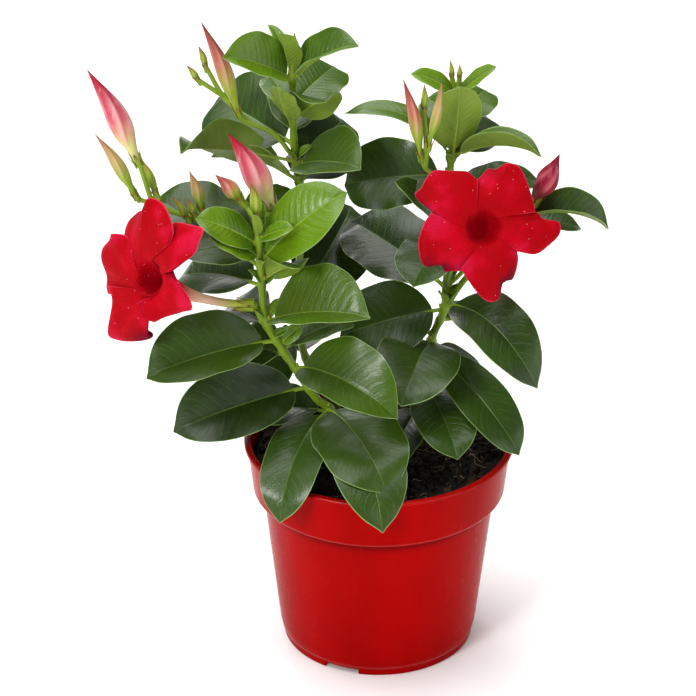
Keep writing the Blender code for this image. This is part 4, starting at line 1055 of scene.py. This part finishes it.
def makeOpenFlower(node, flower, lobes):
    form = flowerForm
    name = "open_" + node
    draw = random.Random(form["seed"] + len(name))
    heap = Heap("along", "across", "dusk", "back")
    face = unit(flower.facing)
    mouth, foot = np.array(flower.throat, float), np.array(flower.foot, float)
    bend = tubeBend(flower)
    start = foot + unit(bend - foot) * budForm["gap"]
    upward = unit(np.array((0, 0, 1.0)) - face * face[2])
    right = np.cross(upward, face)

    def middleAt(share):
        share = share[..., None]
        return (1 - share) ** 2 * start + 2 * share * (1 - share) * bend + share ** 2 * mouth

    share = np.linspace(0, 1, form["tubeRows"])
    path = middleAt(share) - face * form["mouthDepth"] * smoothStep(0.8, 1.0, share)[:, None]
    outer = throughPoints(form["outside"], share)
    sides, innerRows = form["tubeSides"], slice(-3, form["innerFrom"] - 1, -1)
    skin = ringsAlong(path, outer, sides)
    inner = ringsAlong(path[:-2], np.maximum(outer[:-2] - form["tubeThick"], 0.4), sides)
    inner = inner[form["innerFrom"]:][::-1]
    depth = np.concatenate((share - 1.0, share[innerRows] - 1.0))
    back = np.repeat((1.0, 0.0), (len(skin), len(inner)))
    addRings(heap, np.concatenate((skin, inner)), 0, along=depth[:, None], back=back[:, None])

    w = np.linspace(0, 1, form["columns"])  # along a lobe's outline
    v = np.linspace(0, 1, form["rows"])[:, None]  # from the throat to that outline
    place = np.linspace(form["inside"][0][0], 1.0, form["funnelRows"])[:-1, None]  # up the tube to the throat
    along = np.concatenate((place - 1.0, v))
    corner = 0.94 + 0.08 * np.sin(np.pi * w) ** 2
    root = form["throat"] * corner
    raised = form["tilt"] * (w - 0.5) * 2
    hump = 0.45 + 0.55 * np.cos(np.pi * (w - 0.55))
    for k, outline in enumerate(lobes):
        curls = [curl[1:] for curl in form["curls"][node] if curl[0] == k]
        edgeX, edgeY, edgeZ = alongEdge(outline, len(w)).T
        edgeZ = np.where(edgeZ < 0, edgeZ * form["sink"][node], edgeZ)
        first, last = form["roots"][node][k:k + 2]
        angle = np.radians(first + form["rootMargin"] + (last - first - 2 * form["rootMargin"]) * w)
        ringWay = right * np.cos(angle)[:, None] + upward * np.sin(angle)[:, None]
        radius = throughPoints(form["inside"], place) * corner - raised * 0.5
        out = smoothStep(0.8, 1.0, place) * raised
        funnel = middleAt(place) - face * 0.6 + ringWay * radius[..., None] + face * out[..., None]
        rootX, rootY = root * np.cos(angle), root * np.sin(angle)
        slope, phase = draw.uniform(0.6, 1.1), draw.uniform(0, 6.3)
        x, y = rootX + (edgeX - rootX) * v, rootY + (edgeY - rootY) * v
        away = np.hypot(x, y) - root
        lift = edgeZ * v ** 2.1 + raised * (1 - v) - 0.6 + 0.6 * (1 - np.exp(-away / 2.0))
        lift = lift + form["bulge"] * slope * np.sin(np.pi * v ** 0.8) * hump
        lift = lift + form["ripple"] * v ** 2 * np.sin(fullTurn * w * (2.2 + slope) + phase)
        lift = lift - form["rimDrop"] * smoothStep(0.88, 1.0, v) ** 2
        dusk = 0.0
        for at, width, roll, dark in curls:
            part = np.exp(-((w - at) / width) ** 2) * smoothStep(0.84, 1.0, v)
            lift = lift - roll * part
            pull = 1 - 0.045 * abs(roll) * part
            x, y = x * pull, y * pull
            # Painted shade: the colour darkens where the lobe's edge curls back.
            spot = np.exp(-((w - at) / (width * 2.4)) ** 2) * smoothStep(0.62, 0.92, along) * dark
            dusk = np.maximum(dusk, spot)
        petal = spread(mouth, right, upward, x, y) + face * lift[..., None]
        top = np.concatenate((funnel, petal))
        thick = form["thick"] * (0.35 + 0.65 * smoothStep(0, 0.06, 1 - along))
        addSheet(heap, top, top - face * thick[..., None], 0, along=along, across=w * 2 - 1, dusk=dusk)
    settle(heap.build(name, [petalSkin], 60), node)


makePot()
makeSoil()
makeLeafyStem("left", leftStem, leftLeaves, leftSprigs, leftStalks, leftBuds, (leftFlower,))
makeLeafyStem("middle", middleStem, middleLeaves, middleSprigs, middleStalks, middleBuds)
makeLeafyStem("right", rightStem, rightLeaves, rightSprigs, rightStalks, rightBuds, (rightFlower,),
              rightBranch, branchLeaves)
makeOpenFlower("flower_left", leftFlower, leftLobes)
makeOpenFlower("flower_right", rightFlower, rightLobes)


# Floor, light and camera

studio = {
    "floorSize": 12.0, "floorColour": (0.97, 0.97, 0.97, 1.0), "weaveScale": 3.0,
    "skyLow": 0.14, "skyHigh": 0.09, "skyTurn": 0.3,
    "dome": {"place": (-0.4, 0.3, 2.0), "angle": 70.0, "strength": 3.9},  # the large soft box overhead
    "lamps": (
        # name, place in metres, size, watts
        ("keyLamp", (-0.95, -1.25, 1.05), 0.4, 16.0),
        ("fillLamp", (1.15, -0.80, 0.55), 0.8, 4.0),
        ("backPanel", (-0.35, 1.25, 1.00), 0.35, 3.0),
    ),
    "aim": (0.0, 0.0, 0.15),
    "lens": 134.48, "sensor": 36.0, "clip": (0.05, 50),
    "cameraPlace": (-13.7, -1011.2, 654.9),
    "cameraUp": (0, 0.4524, 0.8918), "cameraAhead": (0, 0.8918, -0.4524),
}


def makeFloor():
    half = studio["floorSize"] / 2
    mesh = bpy.data.meshes.new("floor")
    corners = [(-half, -half, 0), (half, -half, 0), (half, half, 0), (-half, half, 0)]
    mesh.from_pydata(corners, [], [(0, 1, 2, 3)])
    finish = newFinish("paperWhite", Roughness=0.9)
    white = finish.blend(finish.grain(studio["weaveScale"]) * 0.1, studio["floorColour"], (1, 1, 1, 1))
    mesh.materials.append(finish.feed(Base_Color=white))
    placed("floor", mesh)


def aimed(lamp, way, axis):  # a lamp whose own axis, Z or -Z, points this way
    lamp.rotation_euler = way.to_track_quat(axis, "Y").to_euler()


def makeLights():
    dome = bpy.data.lights.new("softBox", "SUN")
    dome.angle = math.radians(studio["dome"]["angle"])
    dome.energy = studio["dome"]["strength"]
    aimed(placed("softBox", dome), Vector(studio["dome"]["place"]), "Z")
    for name, place, size, watts in studio["lamps"]:
        light = bpy.data.lights.new(name, "AREA")
        light.size = size
        light.energy = watts
        lamp = placed(name, light)
        lamp.location = place
        aimed(lamp, Vector(studio["aim"]) - Vector(place), "-Z")
    bpy.context.scene.world = world = bpy.data.worlds.new("studioRoom")
    room = Finish(world, "Background", Color=(1, 1, 1, 1))
    upward = room.node("SeparateXYZ", {}, {0: room.node("TexCoord")}, 2)
    room.feed(Strength=room.node("MapRange", {}, {"Value": upward, "From Max": studio["skyTurn"],
                                                  "To Min": studio["skyLow"], "To Max": studio["skyHigh"]}))


def makeCamera():
    scene = bpy.context.scene
    scene.view_settings.view_transform = "Standard"
    camera = bpy.data.cameras.new("camera")
    camera.lens = studio["lens"]
    camera.sensor_width = studio["sensor"]
    camera.clip_start, camera.clip_end = studio["clip"]
    up, ahead = Vector(studio["cameraUp"]), Vector(studio["cameraAhead"])
    turn = Matrix((ahead.cross(up), up, -ahead)).transposed().to_4x4()
    turn.translation = potMiddle + Vector(studio["cameraPlace"]) * mm
    scene.camera = placed("camera", camera)
    scene.camera.matrix_world = turn


makeFloor()
makeLights()
makeCamera()
print("studio ready")
